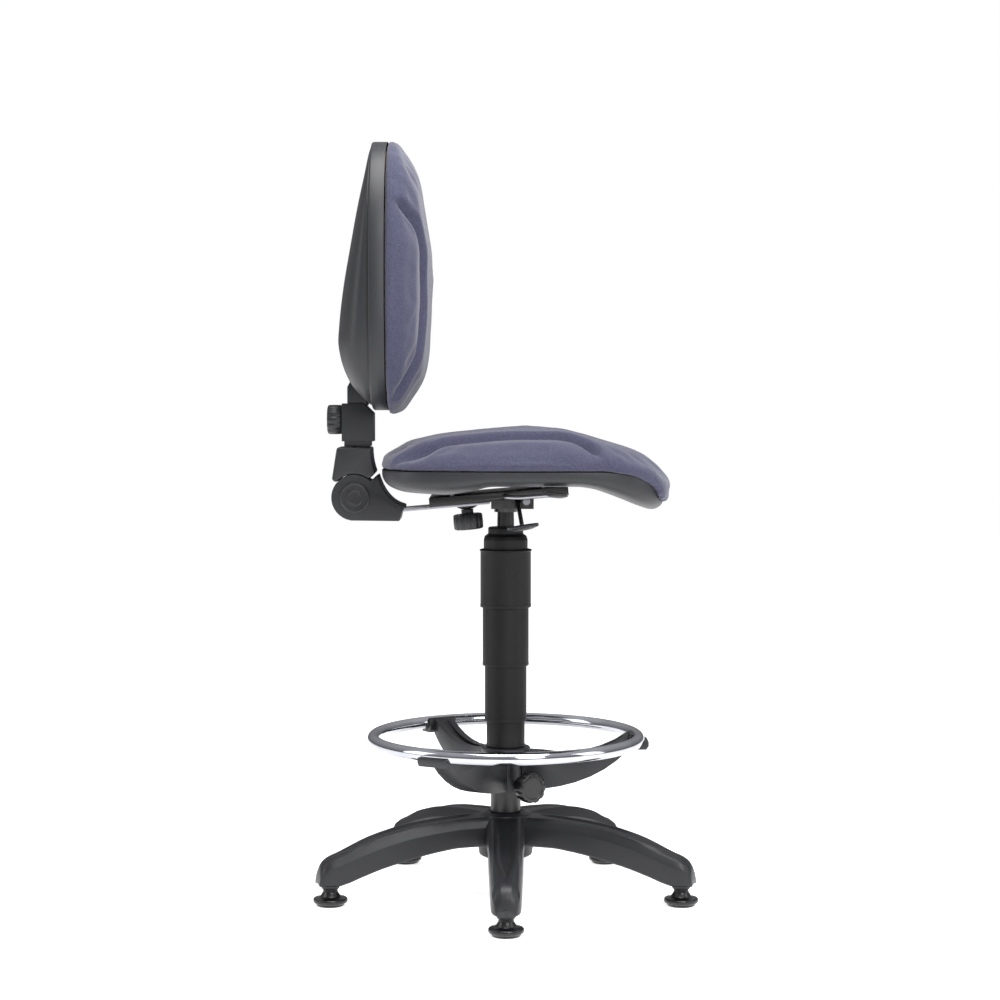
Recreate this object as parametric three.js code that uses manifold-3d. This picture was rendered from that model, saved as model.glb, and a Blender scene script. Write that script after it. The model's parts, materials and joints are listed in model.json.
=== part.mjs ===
// Drafting chair: five-leg base on glides, gas column in telescopic covers, foot ring with a clamp,
// tilting seat with a depth-adjustable back arm, and a height-adjustable upholstered backrest.
// Millimetres, +Z up, the chair faces -Y. Every piece is modelled about the column axis, and the
// whole chair is then moved along X so that its footprint is centred on the origin.
import * as THREE from "three";
import { mergeVertices } from "three/addons/utils/BufferGeometryUtils.js";
import Module from "manifold-3d";

const wasm = await Module();
wasm.setup();

// ---- Driving dimensions ----

const fitGap = 0.3; // between pieces that touch
const slideGap = 0.5; // between pieces that move on each other, per side

// base and glides
const legCount = 5;
const glideCircleRadius = 300;
const legWidth = 53;
const legRootWidth = 72;
const legStart = 20; // inside the hub, from the column axis
const legFlare = 60; // where the leg starts to narrow
const legShoulder = 70; // where its top starts to fall
const legNarrows = 200; // where it reaches its own width
const legUnder = 84; // underside at the hub
const legTipTop = 78;
const legOverhang = 20; // beyond the glide
const socketRoof = 3; // above the pin in the leg and below it in the glide
const hubRim = 6;
const legWall = 5;
const hubRadius = 46;
const hubTop = 132;
const hubBottom = 62;
const glideDiameter = 56;
const glideRim = 14;
const glideNeckDiameter = 22;
const glideNeckTop = 33;
const glidePinDiameter = 10;
const glidePinTop = 62;
const glideFloor = 8;

// column
const tubeDiameter = 50;
const tubeWall = 2;
const tubeTop = 345;
const tubeBottom = 58;
const rodGrip = 25; // how much of the rod stays in the raised cylinder
const taperLength = 36;
const taperNarrowing = 0.9;
const valvePocket = 14;
const cylinderDiameter = 28;
const cylinderBottom = 280;
const cylinderTop = 654;
const seatTravel = 195; // how far the cylinder sinks over the rod
const rodDiameter = 10;
const bushLength = 60;
const bearingHeight = 8;
const clipHeight = 6;
const valvePinDiameter = 8;
const valvePinHeight = 4;
const valvePinTravel = 5;

// telescopic covers, from the lowest to the top one
const sleeveDiameters = [14, 20, 27, 34.6].map((extra) => tubeDiameter + extra);
const sleeveBottoms = [246, 288.5, 381, 478];
const sleeveLengths = [95, 100, 104, 96];
const sleeveWall = 2.4;
const sleeveRimDiameter = tubeDiameter + 36.5;
const sleeveRimHeight = 2;
const capDiameter = 73;
const capCollarDiameter = 58;
const capShoulder = 590;
const capTop = 611;
const capSkirt = 12;

// foot ring
const ringRadius = 220;
const ringHeight = 260;
const ringTubeDiameter = 21;
const ringHubDiameter = 62;
const ringHubBottom = 174;
const ringFlangeDiameter = 82;
const ringFlangeThickness = 8;
const ringArmWidth = 36;
const ringArmAngles = [-90, 32, 150];
const clipLength = 50;
const clipWall = 6;
const ringKnobAngle = 210;
const ringKnobReach = 66;
const ringKnobHeight = 188;
const ringKnobDiameter = 49;
const ringKnobDepth = 25;
const knobStudDiameter = 8;

// seat
const seatWidth = 470;
const seatRear = 203;
const seatFront = 265;
const seamHeight = 710;
const panDepth = 36;
const panWall = 4;
const boardThickness = 12;
const plateSlope = 5;
const plateTop = 672.5;
const plateThickness = 3;
const plateDepth = 14;
const plateWidth = 170;
const plateRear = 125;
const plateFront = 101;
const seatBoltSpacing = [130, 150];
const seatBoltDiameter = 8;

// mechanism and levers
const housingWidth = 60;
const housingRear = 24;
const housingFront = 46;
const housingBottom = 642;
const housingTop = 663;
const socketDiameter = 38;
const socketBottom = 636;
const tiltPivot = [34, 655];
const tiltBoltDiameter = 12;
const earThickness = 4;
const earRadius = 9;
const leverRodDiameter = 7;
const heightLeverPlace = [20, 652];
const leverSwing = 5; // degrees that the height lever lifts
const heightPaddlePlace = [27, 621];
const tiltLeverAxis = [0, 665.3];
const tiltPaddlePlace = [78, 672];
const paddleReach = 200;
const paddleWidth = 46;
const paddleThickness = 9;
const heightPaddleLength = 50;
const tiltPaddleLength = 36;

// back arm and its corner hinge
const barWidth = 44;
const barThickness = 6;
const barFront = -28;
const barRear = -208;
const barDrop = 14.3;
const hingeCentre = [-248, 661];
const hingeBoltDiameter = 12;
const lugThickness = 4;
const knuckleDiameter = 44;
const hingeCapDiameter = 50;
const hingeCapThickness = 4;
const coverRadius = 38;
const coverHalfWidth = 38;
const coverWall = 3.5;
const coverTop = 743;
const depthKnobPlace = -66;
const depthRearward = 25;
const depthKnobDiameter = 50;
const depthKnobBottom = 610;
const depthKnobTop = 638;
const washerDiameter = 34;

// backrest
const uprightWidth = 40;
const uprightThickness = 8;
const uprightTop = 960;
const blockBottom = 753;
const blockTop = 815;
const blockWidth = 56;
const blockRear = -269;
const blockFront = -217;
const backKnobHeight = 788.5;
const backKnobDiameter = 48;
const backKnobDepth = 25;
const backWidth = 412;
const backBottom = 799;
const backTop = 1242;
const backFace = -190;
const backBoardThickness = 10;
const shellRim = 25;
const shellWall = 4;
const bulgeWidth = 330;
const bracketBottom = 860;
const bracketTop = 905;
const bracketHalf = 70;

// ---- Building helpers ----

const xAxis = new THREE.Vector3(1, 0, 0);
const zAxis = new THREE.Vector3(0, 0, 1);
const forward = new THREE.Vector3(0, -1, 0);
const radians = THREE.MathUtils.degToRad;

// A closed geometry as a solid, with its faces turned outwards.
function solid(geometry) {
  const bare = geometry.clone();
  bare.deleteAttribute("normal");
  bare.deleteAttribute("uv");
  const merged = mergeVertices(bare, 1e-3);
  const vertProperties = merged.attributes.position.array;
  const triVerts = new Uint32Array(merged.index.array);
  const made = new wasm.Manifold(new wasm.Mesh({ numProp: 3, vertProperties, triVerts }));
  if (made.volume() > 0) return made;
  return new wasm.Manifold(new wasm.Mesh({ numProp: 3, vertProperties, triVerts: triVerts.reverse() }));
}

function join(solids) {
  return solids.reduce((sum, next) => sum.add(next));
}

function meshOf(name, made, material) {
  const { vertProperties, triVerts } = made.getMesh();
  const geometry = new THREE.BufferGeometry();
  geometry.setAttribute("position", new THREE.BufferAttribute(vertProperties, 3));
  geometry.setIndex(new THREE.BufferAttribute(triVerts, 1));
  geometry.computeVertexNormals();
  const mesh = new THREE.Mesh(geometry, material.clone());
  mesh.name = name;
  return mesh;
}

// A solid moved by x, y, z, after a turn of the given degrees about Z.
function placed(made, x = 0, y = 0, z = 0, turn = 0) {
  return made.rotate([0, 0, turn]).translate([x, y, z]);
}

function outline(points) {
  return new THREE.Shape(points.map(([x, y]) => new THREE.Vector2(x, y)));
}

// A closed outline drawn along the axes across and up, thickened evenly to both sides.
function slab(shape, across, up, thickness, curveSegments = 6) {
  const normal = across.clone().cross(up);
  const geometry = new THREE.ExtrudeGeometry(shape, {
    depth: thickness,
    bevelEnabled: false,
    curveSegments,
  });
  geometry.translate(0, 0, -thickness / 2);
  return solid(geometry.applyMatrix4(new THREE.Matrix4().makeBasis(across, up, normal)));
}

// An outline in the side view, as distances in front of the column axis and heights.
function sideSlab(shape, width, curveSegments) {
  return slab(shape, forward, zAxis, width, curveSegments);
}

// An outline in plan, in X and Y, from one height to another.
function planSlab(shape, bottom, top, curveSegments = 6) {
  const geometry = new THREE.ExtrudeGeometry(shape, {
    depth: top - bottom,
    bevelEnabled: false,
    curveSegments,
  });
  return solid(geometry.translate(0, 0, bottom));
}

// A solid of revolution about Z from its closed profile of radii and heights.
function turned(profile, sides = 24) {
  const points = [...profile, profile[0]].map(([r, z]) => new THREE.Vector2(r, z));
  return solid(new THREE.LatheGeometry(points, sides).rotateX(Math.PI / 2));
}

function cylinder(diameter, bottom, top, sides = 20) {
  const radius = diameter / 2;
  return turned([[0, bottom], [radius, bottom], [radius, top], [0, top]], sides);
}

function ringTube(outer, inner, bottom, top, sides = 24) {
  return turned([[inner / 2, bottom], [outer / 2, bottom], [outer / 2, top], [inner / 2, top]], sides);
}

// A bolt or rod along the X axis through the given place in front of the column and height.
function crossPin(diameter, from, to, [front, height], sides = 20) {
  return cylinder(diameter, from, to, sides).rotate([0, 90, 0]).translate([0, -front, height]);
}

// A rectangle with round corners about a centre.
function roundedRectangle(width, height, radius, cx = 0, cy = 0) {
  const shape = new THREE.Shape();
  const [left, right] = [cx - width / 2, cx + width / 2];
  const [low, high] = [cy - height / 2, cy + height / 2];
  shape.absarc(right - radius, low + radius, radius, -Math.PI / 2, 0);
  shape.absarc(right - radius, high - radius, radius, 0, Math.PI / 2);
  shape.absarc(left + radius, high - radius, radius, Math.PI / 2, Math.PI);
  shape.absarc(left + radius, low + radius, radius, Math.PI, Math.PI * 1.5);
  return shape;
}

function scallopedKnob(diameter, depth, lobes = 12) {
  const steps = lobes * 3;
  const points = [];
  for (let i = 0; i < steps; i += 1) {
    const angle = (i / steps) * Math.PI * 2;
    const radius = (diameter / 2) * (0.965 + 0.035 * Math.cos(angle * lobes));
    points.push([radius * Math.cos(angle), radius * Math.sin(angle)]);
  }
  return planSlab(outline(points), 0, depth);
}

function finish(color, roughness, metalness = 0) {
  return new THREE.MeshStandardMaterial({ color, roughness, metalness });
}

const blackPlastic = finish("#2b2b2e", 0.55);
const glossPlastic = finish("#1b1b1d", 0.35);
const greyPlastic = finish("#3a3b40", 0.5);
const blackSteel = finish("#1f2022", 0.45, 0.6);
const zincSteel = finish("#a8a8aa", 0.4, 0.9);
const chrome = finish("#e6e7ea", 0.1, 1);
const plywood = finish("#c9a778", 0.7);
const fabric = finish("#53566c", 0.9);

const chair = new THREE.Group();
const add = (name, made, material) => chair.add(meshOf(name, made, material));

// ---- Star base and glides ----

// One leg along +X: a side profile cut to a tapering plan, hollow below, with a socket at the tip.
function baseLeg() {
  const tip = glideCircleRadius + legOverhang;
  const foot = glideNeckTop + fitGap;
  const side = new THREE.Shape();
  side.moveTo(legStart, hubTop);
  side.lineTo(legShoulder, hubTop);
  side.bezierCurveTo(
    legShoulder + 100, hubTop, legShoulder + 170, hubTop - 24, tip - 15, legTipTop);
  side.quadraticCurveTo(tip, legTipTop - 8, tip, legTipTop - 32);
  side.lineTo(tip - 8, foot);
  side.lineTo(glideCircleRadius - legOverhang, foot);
  side.quadraticCurveTo(legNarrows - 10, legUnder - 10, legShoulder + 18, legUnder);
  side.lineTo(legStart, legUnder);
  const plan = new THREE.Shape();
  const tipRadius = legWidth / 2;
  plan.moveTo(0, -legRootWidth / 2);
  plan.lineTo(legFlare, -legRootWidth / 2);
  plan.quadraticCurveTo(legNarrows - legShoulder, -legWidth / 2, legNarrows, -legWidth / 2);
  plan.absarc(tip - tipRadius, 0, tipRadius, -Math.PI / 2, Math.PI / 2);
  plan.lineTo(legNarrows, legWidth / 2);
  plan.quadraticCurveTo(legNarrows - legShoulder, legWidth / 2, legFlare, legRootWidth / 2);
  plan.lineTo(0, legRootWidth / 2);
  const body = slab(side, xAxis, zAxis, legRootWidth + 2).intersect(planSlab(plan, 0, hubTop + 1));

  const roof = hubTop - 3 * legWall;
  const channelEnd = glideCircleRadius - 1.5 * legOverhang;
  const hollow = new THREE.Shape();
  hollow.moveTo(legShoulder, roof);
  hollow.bezierCurveTo(
    legShoulder + 80, roof, legShoulder + 140, roof - 12, channelEnd, legTipTop - 2);
  hollow.lineTo(channelEnd, 0);
  hollow.lineTo(legShoulder, 0);
  const channel = slab(hollow, xAxis, zAxis, legWidth - 2 * legWall);
  const socket = cylinder(glidePinDiameter + 2 * fitGap, 0, glidePinTop + socketRoof);
  return body.subtract(channel).subtract(placed(socket, glideCircleRadius));
}

const legAngles = Array.from({ length: legCount }, (_, i) => 180 + (i * 360) / legCount);

const baseHub = turned([
  [0, hubBottom],
  [hubRadius - hubRim, hubBottom],
  [hubRadius, hubBottom + 2 * hubRim],
  [hubRadius, hubTop - 4],
  [hubRadius - hubRim, hubTop + 4],
  [0, hubTop + 4],
]);
const leg = baseLeg();
const hubBore = cylinder(tubeDiameter + 2 * fitGap, 0, 200, 32);
const spider = join([baseHub, ...legAngles.map((angle) => placed(leg, 0, 0, 0, angle))]);
add("star_base", spider.subtract(hubBore), blackPlastic);

// A dished foot with a neck and a blind hole for its steel pin.
function glideFoot() {
  const radius = glideDiameter / 2;
  const neck = glideNeckDiameter / 2;
  const bore = glidePinDiameter / 2 + fitGap;
  return turned([
    [0, 0],
    [radius - 2, 0],
    [radius, 3],
    [radius, glideRim - 4],
    [radius - 2, glideRim],
    [neck + 4, glideRim - 2],
    [neck, glideRim + 5],
    [neck, glideNeckTop],
    [bore, glideNeckTop],
    [bore, glideFloor],
    [0, glideFloor],
  ], 16);
}

legAngles.forEach((angle, i) => {
  const at = new THREE.Vector2(glideCircleRadius, 0).rotateAround(new THREE.Vector2(), radians(angle));
  const pin = cylinder(glidePinDiameter, glideFloor + fitGap, glidePinTop, 12);
  add(`glide_${i + 1}`, placed(glideFoot(), at.x, at.y), glossPlastic);
  add(`glide_pin_${i + 1}`, placed(pin, at.x, at.y), zincSteel);
});

// ---- Gas column ----

const tubeBore = tubeDiameter - 2 * tubeWall;
const tubeFloor = tubeBottom + tubeWall;
const bearingTop = tubeFloor + fitGap + bearingHeight;

add("column_tube", turned([
  [rodDiameter / 2 + fitGap, tubeBottom],
  [tubeDiameter / 2, tubeBottom],
  [tubeDiameter / 2, tubeTop],
  [tubeBore / 2, tubeTop],
  [tubeBore / 2, tubeFloor],
  [rodDiameter / 2 + fitGap, tubeFloor],
]), blackSteel);

const bushBottom = tubeTop - bushLength;
const bushOuter = tubeBore - 2 * fitGap;
const bushInner = cylinderDiameter + 2 * slideGap;
add("guide_bush", ringTube(bushOuter, bushInner, bushBottom, tubeTop), greyPlastic);

const clipBottom = tubeBottom - fitGap - clipHeight;
const rodTop = cylinderBottom + rodGrip;
add("piston_rod", cylinder(rodDiameter, clipBottom - 4, rodTop, 20), zincSteel);
add("thrust_bearing", ringTube(
  bushOuter, rodDiameter + 2 * fitGap, tubeFloor + fitGap, bearingTop), zincSteel);
add("rod_clip", ringTube(22, rodDiameter + 2 * fitGap, clipBottom, tubeBottom - fitGap), zincSteel);

// The pressure cylinder: hollow at the foot for the rod, tapered at the head for the seat mechanism.
const taperTop = cylinderDiameter / 2 - taperNarrowing;
const boreTop = rodTop + seatTravel + 10 * slideGap;
add("gas_cylinder", turned([
  [rodDiameter / 2 + slideGap, cylinderBottom],
  [cylinderDiameter / 2, cylinderBottom],
  [cylinderDiameter / 2, cylinderTop - taperLength],
  [taperTop, cylinderTop],
  [valvePinDiameter / 2 + slideGap, cylinderTop],
  [valvePinDiameter / 2 + slideGap, cylinderTop - valvePocket],
  [0, cylinderTop - valvePocket],
  [0, boreTop],
  [rodDiameter / 2 + slideGap, boreTop],
]), blackSteel);
add("valve_pin", cylinder(
  valvePinDiameter, cylinderTop - valvePocket + valvePinTravel, cylinderTop + valvePinHeight, 16), zincSteel);

// ---- Telescopic covers ----

const sleeveNames = ["sleeve_bottom", "sleeve_lower_mid", "sleeve_upper_mid", "sleeve_top"];
sleeveNames.forEach((name, i) => {
  const outer = sleeveDiameters[i];
  const bottom = sleeveBottoms[i] + fitGap;
  const top = sleeveBottoms[i] + sleeveLengths[i];
  const sleeve = ringTube(outer, outer - 2 * sleeveWall, bottom, top, 28);
  const rim = ringTube(sleeveRimDiameter, outer - 2 * sleeveWall, top - sleeveRimHeight, top, 28);
  add(name, name === "sleeve_top" ? sleeve.add(rim) : sleeve, glossPlastic);
});

const topSleeve = sleeveDiameters.length - 1;
const sleeveMouth = sleeveBottoms[topSleeve] + sleeveLengths[topSleeve];
const sleeveBore = sleeveDiameters[topSleeve] / 2 - sleeveWall;
const capBore = cylinderDiameter / 2 + slideGap;
add("sleeve_cap", turned([
  [capBore, sleeveMouth - capSkirt],
  [sleeveBore - fitGap, sleeveMouth - capSkirt],
  [sleeveBore - fitGap, sleeveMouth],
  [capDiameter / 2, sleeveMouth + 1],
  [capDiameter / 2, capShoulder],
  [capDiameter / 2 - 4, capShoulder + 6],
  [capCollarDiameter / 2, capShoulder + 9],
  [capCollarDiameter / 2, capTop],
  [capBore, capTop],
], 28), blackPlastic);

// ---- Foot ring ----

const hubBoreRing = tubeDiameter / 2 + slideGap;
const flangeTop = sleeveBottoms[0];

// An arm along +X that rises from the hub to the ring, grooved between two ribs on its top.
function ringArm() {
  const end = ringRadius - ringTubeDiameter / 2 - clipWall - fitGap;
  const profile = new THREE.Shape();
  profile.moveTo(ringHubDiameter / 2 - 4, ringHubBottom + 1);
  profile.lineTo(60, ringHubBottom + 3);
  profile.quadraticCurveTo(150, ringHubBottom + 12, end, ringHeight - 18);
  profile.lineTo(end, ringHeight + 8);
  profile.quadraticCurveTo(140, flangeTop - 22, 60, flangeTop - 8);
  profile.lineTo(ringHubDiameter / 2 - 4, flangeTop - 6);
  const groove = new THREE.Shape();
  groove.moveTo(50, flangeTop);
  groove.lineTo(60, flangeTop - 13);
  groove.quadraticCurveTo(140, flangeTop - 27, end - 8, ringHeight + 2);
  groove.lineTo(end - 8, ringHeight + 20);
  groove.lineTo(50, ringHeight + 20);
  const body = slab(profile, xAxis, zAxis, ringArmWidth);
  return body.subtract(slab(groove, xAxis, zAxis, ringArmWidth / 3));
}

// A cradle that holds a stretch of the ring from the inside and below.
function ringClip() {
  const inner = ringRadius - ringTubeDiameter / 2 - clipWall;
  const outer = ringRadius + ringTubeDiameter / 2 + clipWall;
  const low = ringHeight - ringTubeDiameter / 2 - clipWall;
  const top = ringHeight + ringTubeDiameter / 2;
  const section = outline([[inner, low + 5], [inner + 5, low], [outer - 4, low], [outer, low + 6],
    [outer, ringHeight - 4], [outer - 3, ringHeight - 2], [ringRadius, ringHeight - 2],
    [ringRadius - 7, ringHeight], [ringRadius - 7, top - 2], [inner + 2, top - 2], [inner, top - 5]]);
  return slab(section, xAxis, zAxis, clipLength);
}

const footRing = solid(new THREE.TorusGeometry(ringRadius, ringTubeDiameter / 2, 10, 48))
  .translate([0, 0, ringHeight]);
add("foot_ring", footRing, chrome);

const ringRoom = solid(new THREE.TorusGeometry(ringRadius, ringTubeDiameter / 2 + 2 * fitGap, 10, 48))
  .translate([0, 0, ringHeight]);
const arm = ringArm();
const clip = ringClip();
const ringCollar = turned([
  [0, ringHubBottom],
  [ringHubDiameter / 2, ringHubBottom],
  [ringHubDiameter / 2, flangeTop - ringFlangeThickness],
  [ringFlangeDiameter / 2, flangeTop - ringFlangeThickness],
  [ringFlangeDiameter / 2, flangeTop - 2],
  [ringFlangeDiameter / 2 - 2, flangeTop],
  [0, flangeTop],
]);
const ringStudHole = cylinder(knobStudDiameter + 2 * fitGap, 0, ringHubDiameter, 16)
  .rotate([0, 90, 0]);
const ringHub = join([ringCollar, ...ringArmAngles.map((angle) => placed(arm, 0, 0, 0, angle))])
  .subtract(cylinder(2 * hubBoreRing, 0, 400, 32))
  .subtract(placed(ringStudHole, 0, 0, ringKnobHeight, ringKnobAngle));
add("ring_hub", ringHub, blackPlastic);
ringArmAngles.forEach((angle, i) => {
  add(`ring_clip_${i + 1}`, placed(clip, 0, 0, 0, angle).subtract(ringRoom), blackPlastic);
});

// A scalloped clamp knob along +Z with its moulded-in stud below.
function clampKnob(diameter, depth, studLength) {
  const stud = cylinder(knobStudDiameter, -studLength, 1, 16);
  return scallopedKnob(diameter, depth).add(stud);
}

const ringStudLength = ringKnobReach - hubBoreRing - fitGap;
const ringKnob = clampKnob(ringKnobDiameter, ringKnobDepth, ringStudLength)
  .rotate([0, 90, 0])
  .translate([ringKnobReach, 0, 0]);
add("ring_clamp_knob", placed(ringKnob, 0, 0, ringKnobHeight, ringKnobAngle), blackPlastic);

// ---- Seat mechanism ----

// The seat plate and the bar slope up to the front about the point (0, plateTop) of the column axis.
function sloped(made) {
  return made.rotate([-plateSlope, 0, 0]).translate([0, 0, plateTop]);
}

// A box from its least to its greatest X, distance in front of the column axis, and height.
function block([x0, u0, z0], [x1, u1, z1]) {
  const box = new THREE.BoxGeometry(x1 - x0, u1 - u0, z1 - z0);
  return solid(box.translate((x0 + x1) / 2, -(u0 + u1) / 2, (z0 + z1) / 2));
}

const halfHousing = housingWidth / 2;
const taperRoom = turned([
  [0, socketBottom - 1],
  [cylinderDiameter / 2 + fitGap, socketBottom - 1],
  [taperTop + fitGap, cylinderTop + fitGap],
  [0, cylinderTop + fitGap],
]);
const [leverU, leverZ] = heightLeverPlace;
const leverHole = leverRodDiameter + 2 * slideGap;
const leverPocket = 9;
const leverRoom = leverHole / 2 + 1;
const leverPivot = halfHousing - 4; // the height lever rocks here, just inside the housing's side
const leverDrop = (leverPivot + leverPocket) * Math.tan(radians(leverSwing));
const leverFloor = leverZ - leverHole / 2 - leverDrop;
const housing = block(
  [-halfHousing, -housingRear, housingBottom], [halfHousing, housingFront, housingTop])
  .add(cylinder(socketDiameter, socketBottom, housingBottom + 1, 32))
  .subtract(taperRoom)
  .subtract(block([-leverPocket, -leverPocket, cylinderTop], [leverPocket, leverU, housingTop + 1]))
  .subtract(block([-leverPocket, leverU - leverRoom, leverFloor - slideGap],
    [leverPocket, leverU + leverRoom, housingTop + 1]))
  .subtract(block([-halfHousing - 1, leverU - leverHole / 2, leverFloor],
    [0, leverU + leverHole / 2, leverZ + leverHole / 2 + leverDrop]))
  .subtract(crossPin(tiltBoltDiameter + 2 * fitGap, -halfHousing - 1, halfHousing + 1, tiltPivot));
add("mechanism_housing", housing, blackSteel);

const earInside = halfHousing + slideGap;
const boltReach = earInside + earThickness + 6;
add("tilt_bolt", crossPin(tiltBoltDiameter, -boltReach, boltReach, tiltPivot), zincSteel);

// A round rod through the given points, each an X, a distance in front of the axis and a height.
function bentRod(points, diameter, steps = 14) {
  const path = new THREE.CatmullRomCurve3(
    points.map(([x, u, z]) => new THREE.Vector3(x, -u, z)), false, "catmullrom", 0.2);
  const section = new THREE.Shape().absarc(0, 0, diameter / 2, 0, Math.PI * 2);
  return solid(new THREE.ExtrudeGeometry(section, { steps, extrudePath: path, curveSegments: 4 }));
}

// A flat oval paddle centred on the given place, with a blind hole for its rod.
function leverPaddle([u, z], rod, length) {
  const shape = roundedRectangle(paddleWidth, length, 12, -paddleReach, -u);
  const half = paddleThickness / 2 + 1;
  return planSlab(shape, z - half, z + half, 5).subtract(bentRod(rod, leverRodDiameter + 2 * fitGap));
}

const heightRod = [
  [leverPocket - 2, leverU, leverZ],
  [-halfHousing - 4, leverU, leverZ],
  [-70, leverU + 1, leverZ - 5],
  [-paddleReach + 40, heightPaddlePlace[0] - 2, heightPaddlePlace[1] + 4],
  [-paddleReach - 6, heightPaddlePlace[0], heightPaddlePlace[1]],
];
const fingerBottom = cylinderTop + valvePinHeight + fitGap;
const finger = block([-6, -5, fingerBottom], [6, leverU + 2, fingerBottom + 3])
  .add(block([-6, leverU - 2, leverZ], [6, leverU + 2, fingerBottom + 3]));
add("height_lever", bentRod(heightRod, leverRodDiameter).add(finger), blackSteel);
add("height_lever_paddle", leverPaddle(heightPaddlePlace, heightRod, heightPaddleLength), blackPlastic);

const plateHalf = plateWidth / 2;
const tiltRod = [
  [-earInside - earThickness - 8, tiltLeverAxis[0], tiltLeverAxis[1]],
  [-plateHalf - 16, tiltLeverAxis[0], tiltLeverAxis[1]],
  [-plateHalf - 40, tiltLeverAxis[0] + 22, tiltLeverAxis[1]],
  [-paddleReach + 24, tiltPaddlePlace[0] - 14, tiltPaddlePlace[1] - 1],
  [-paddleReach - 4, tiltPaddlePlace[0], tiltPaddlePlace[1]],
];
add("tilt_lever", bentRod(tiltRod, leverRodDiameter), zincSteel);
add("tilt_lever_paddle", leverPaddle(tiltPaddlePlace, tiltRod, tiltPaddleLength), blackPlastic);

// ---- Seat plate, pan, board and cushion ----

// The pressed plate: a sheet with flanges all round, an ear on each side of the housing for the
// tilt bolt, and two rails that the depth bar bears on.
function seatPlate() {
  const outer = block([-plateHalf, -plateRear, -plateDepth], [plateHalf, plateFront, 0]);
  const inner = block(
    [-plateHalf + plateThickness, -plateRear + plateThickness, -plateDepth - 1],
    [plateHalf - plateThickness, plateFront - plateThickness, -plateThickness]);
  const railTop = -plateThickness + 0.5;
  const rails = [-1, 1].map((side) => block(
    [side * barWidth / 2 - 3, -plateRear + 1, -plateDepth],
    [side * barWidth / 2 + 3, -housingRear - 12, railTop]));
  return sloped(join([outer.subtract(inner), ...rails]));
}

const [pivotU, pivotZ] = tiltPivot;
const earShape = new THREE.Shape();
earShape.absarc(pivotU, pivotZ, earRadius, Math.PI, Math.PI * 2);
earShape.lineTo(pivotU + earRadius + 4, plateTop + 3);
earShape.lineTo(pivotU - earRadius, plateTop + 1);
const ear = sideSlab(earShape, earThickness);
const earPlace = earInside + earThickness / 2;
const boltHoles = seatBoltSpacing[0] / 2;
const boltRows = [-seatBoltSpacing[1] / 2 - 12, seatBoltSpacing[1] / 2 - 12];
const boltPlaces = boltRows.flatMap((u) => [[-boltHoles, u], [boltHoles, u]]);
const boltHeadHeight = 5;
const boltTop = 27;

function seatBolt() {
  const head = cylinder(13, -plateThickness - fitGap - boltHeadHeight, -plateThickness - fitGap, 6);
  return head.add(cylinder(seatBoltDiameter, -plateThickness - 1, boltTop, 16));
}

const seatBoltHole = cylinder(seatBoltDiameter + 2 * fitGap, -20, boltTop + 3, 16);
const throughSeat = (made) => boltPlaces.reduce(
  (rest, [x, u]) => rest.subtract(sloped(placed(seatBoltHole, x, -u))), made);

const knobLocal = cylinder(knobStudDiameter + 2 * fitGap, -40, -plateThickness + 8, 16)
  .translate([0, -depthKnobPlace, 0]);
const tiltShaftHole = crossPin(leverRodDiameter + 5 * fitGap, -plateHalf - 20, -earInside, tiltLeverAxis);
const plateWithEars = join([
  seatPlate(), ear.translate([earPlace, 0, 0]), ear.translate([-earPlace, 0, 0])]);
add("seat_plate", throughSeat(plateWithEars)
  .subtract(sloped(knobLocal))
  .subtract(tiltShaftHole)
  .subtract(crossPin(tiltBoltDiameter + 2 * fitGap, -boltReach, boltReach, tiltPivot)), blackSteel);

boltPlaces.forEach(([x, u], i) => {
  add(`seat_bolt_${i + 1}`, sloped(placed(seatBolt(), x, -u)), zincSteel);
});

const seatDepth = seatRear + seatFront;
const seatMiddle = (seatRear - seatFront) / 2;
const seatCorner = 105;
const waterfall = 150; // where the seat starts to fall to the front
const fallMiddle = [205, -8];
const fallEnd = [246, -29];
const panLip = [seatFront - 11, seamHeight - 52];

// The seat's plan, drawn in by the given inset.
function seatPlan(inset, bottom, top) {
  const shape = roundedRectangle(
    seatWidth - 2 * inset, seatDepth - 2 * inset, seatCorner - inset, 0, seatMiddle);
  return planSlab(shape, bottom, top, 5);
}

// The line that the pan's rim and the cushion's seam share, at a height above the seam.
function seamLine(above) {
  const z = seamHeight + above;
  return [[waterfall, z], [fallMiddle[0], z + fallMiddle[1]], [fallEnd[0], z + fallEnd[1]]];
}

const rearPan = seamHeight - panDepth - 5;
const middlePan = seamHeight - panDepth + 9;
const panFloor = (rise) => [
  [-seatRear + rise, seamHeight - 20],
  [-seatRear + 12 + rise, rearPan + 5 + rise],
  [-seatRear + 45, rearPan + rise],
  [-100, rearPan + rise],
  [-20, middlePan + rise],
  [110, middlePan + rise],
  [160, middlePan - 11 + rise],
  [215, seamHeight - 62 + rise],
  [240 - rise / 2, seamHeight - 73 + rise],
  [250 - rise, seamHeight - 69 + rise],
];

// The pan: an open tray under the board, with a boss on the plate for each bolt.
function seatPan() {
  const outer = outline([...panFloor(0), panLip, ...seamLine(0).reverse(), [-seatRear, seamHeight]]);
  const inner = outline([...panFloor(panWall), [panLip[0] - panWall, panLip[1]],
    ...seamLine(panWall + 5).reverse(), [-seatRear + panWall, seamHeight + panWall + 5]]);
  const tray = sideSlab(outer, seatWidth).intersect(seatPlan(0, 600, 800))
    .subtract(sideSlab(inner, seatWidth).intersect(seatPlan(panWall, 600, 800)));
  const boss = cylinder(22, fitGap, 60, 16);
  const bosses = join(boltPlaces.map(([x, u]) => sloped(placed(boss, x, -u))))
    .intersect(block([-seatWidth, -seatDepth, 0], [seatWidth, seatDepth, boardBottom - fitGap]));
  return tray.add(bosses);
}

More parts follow.
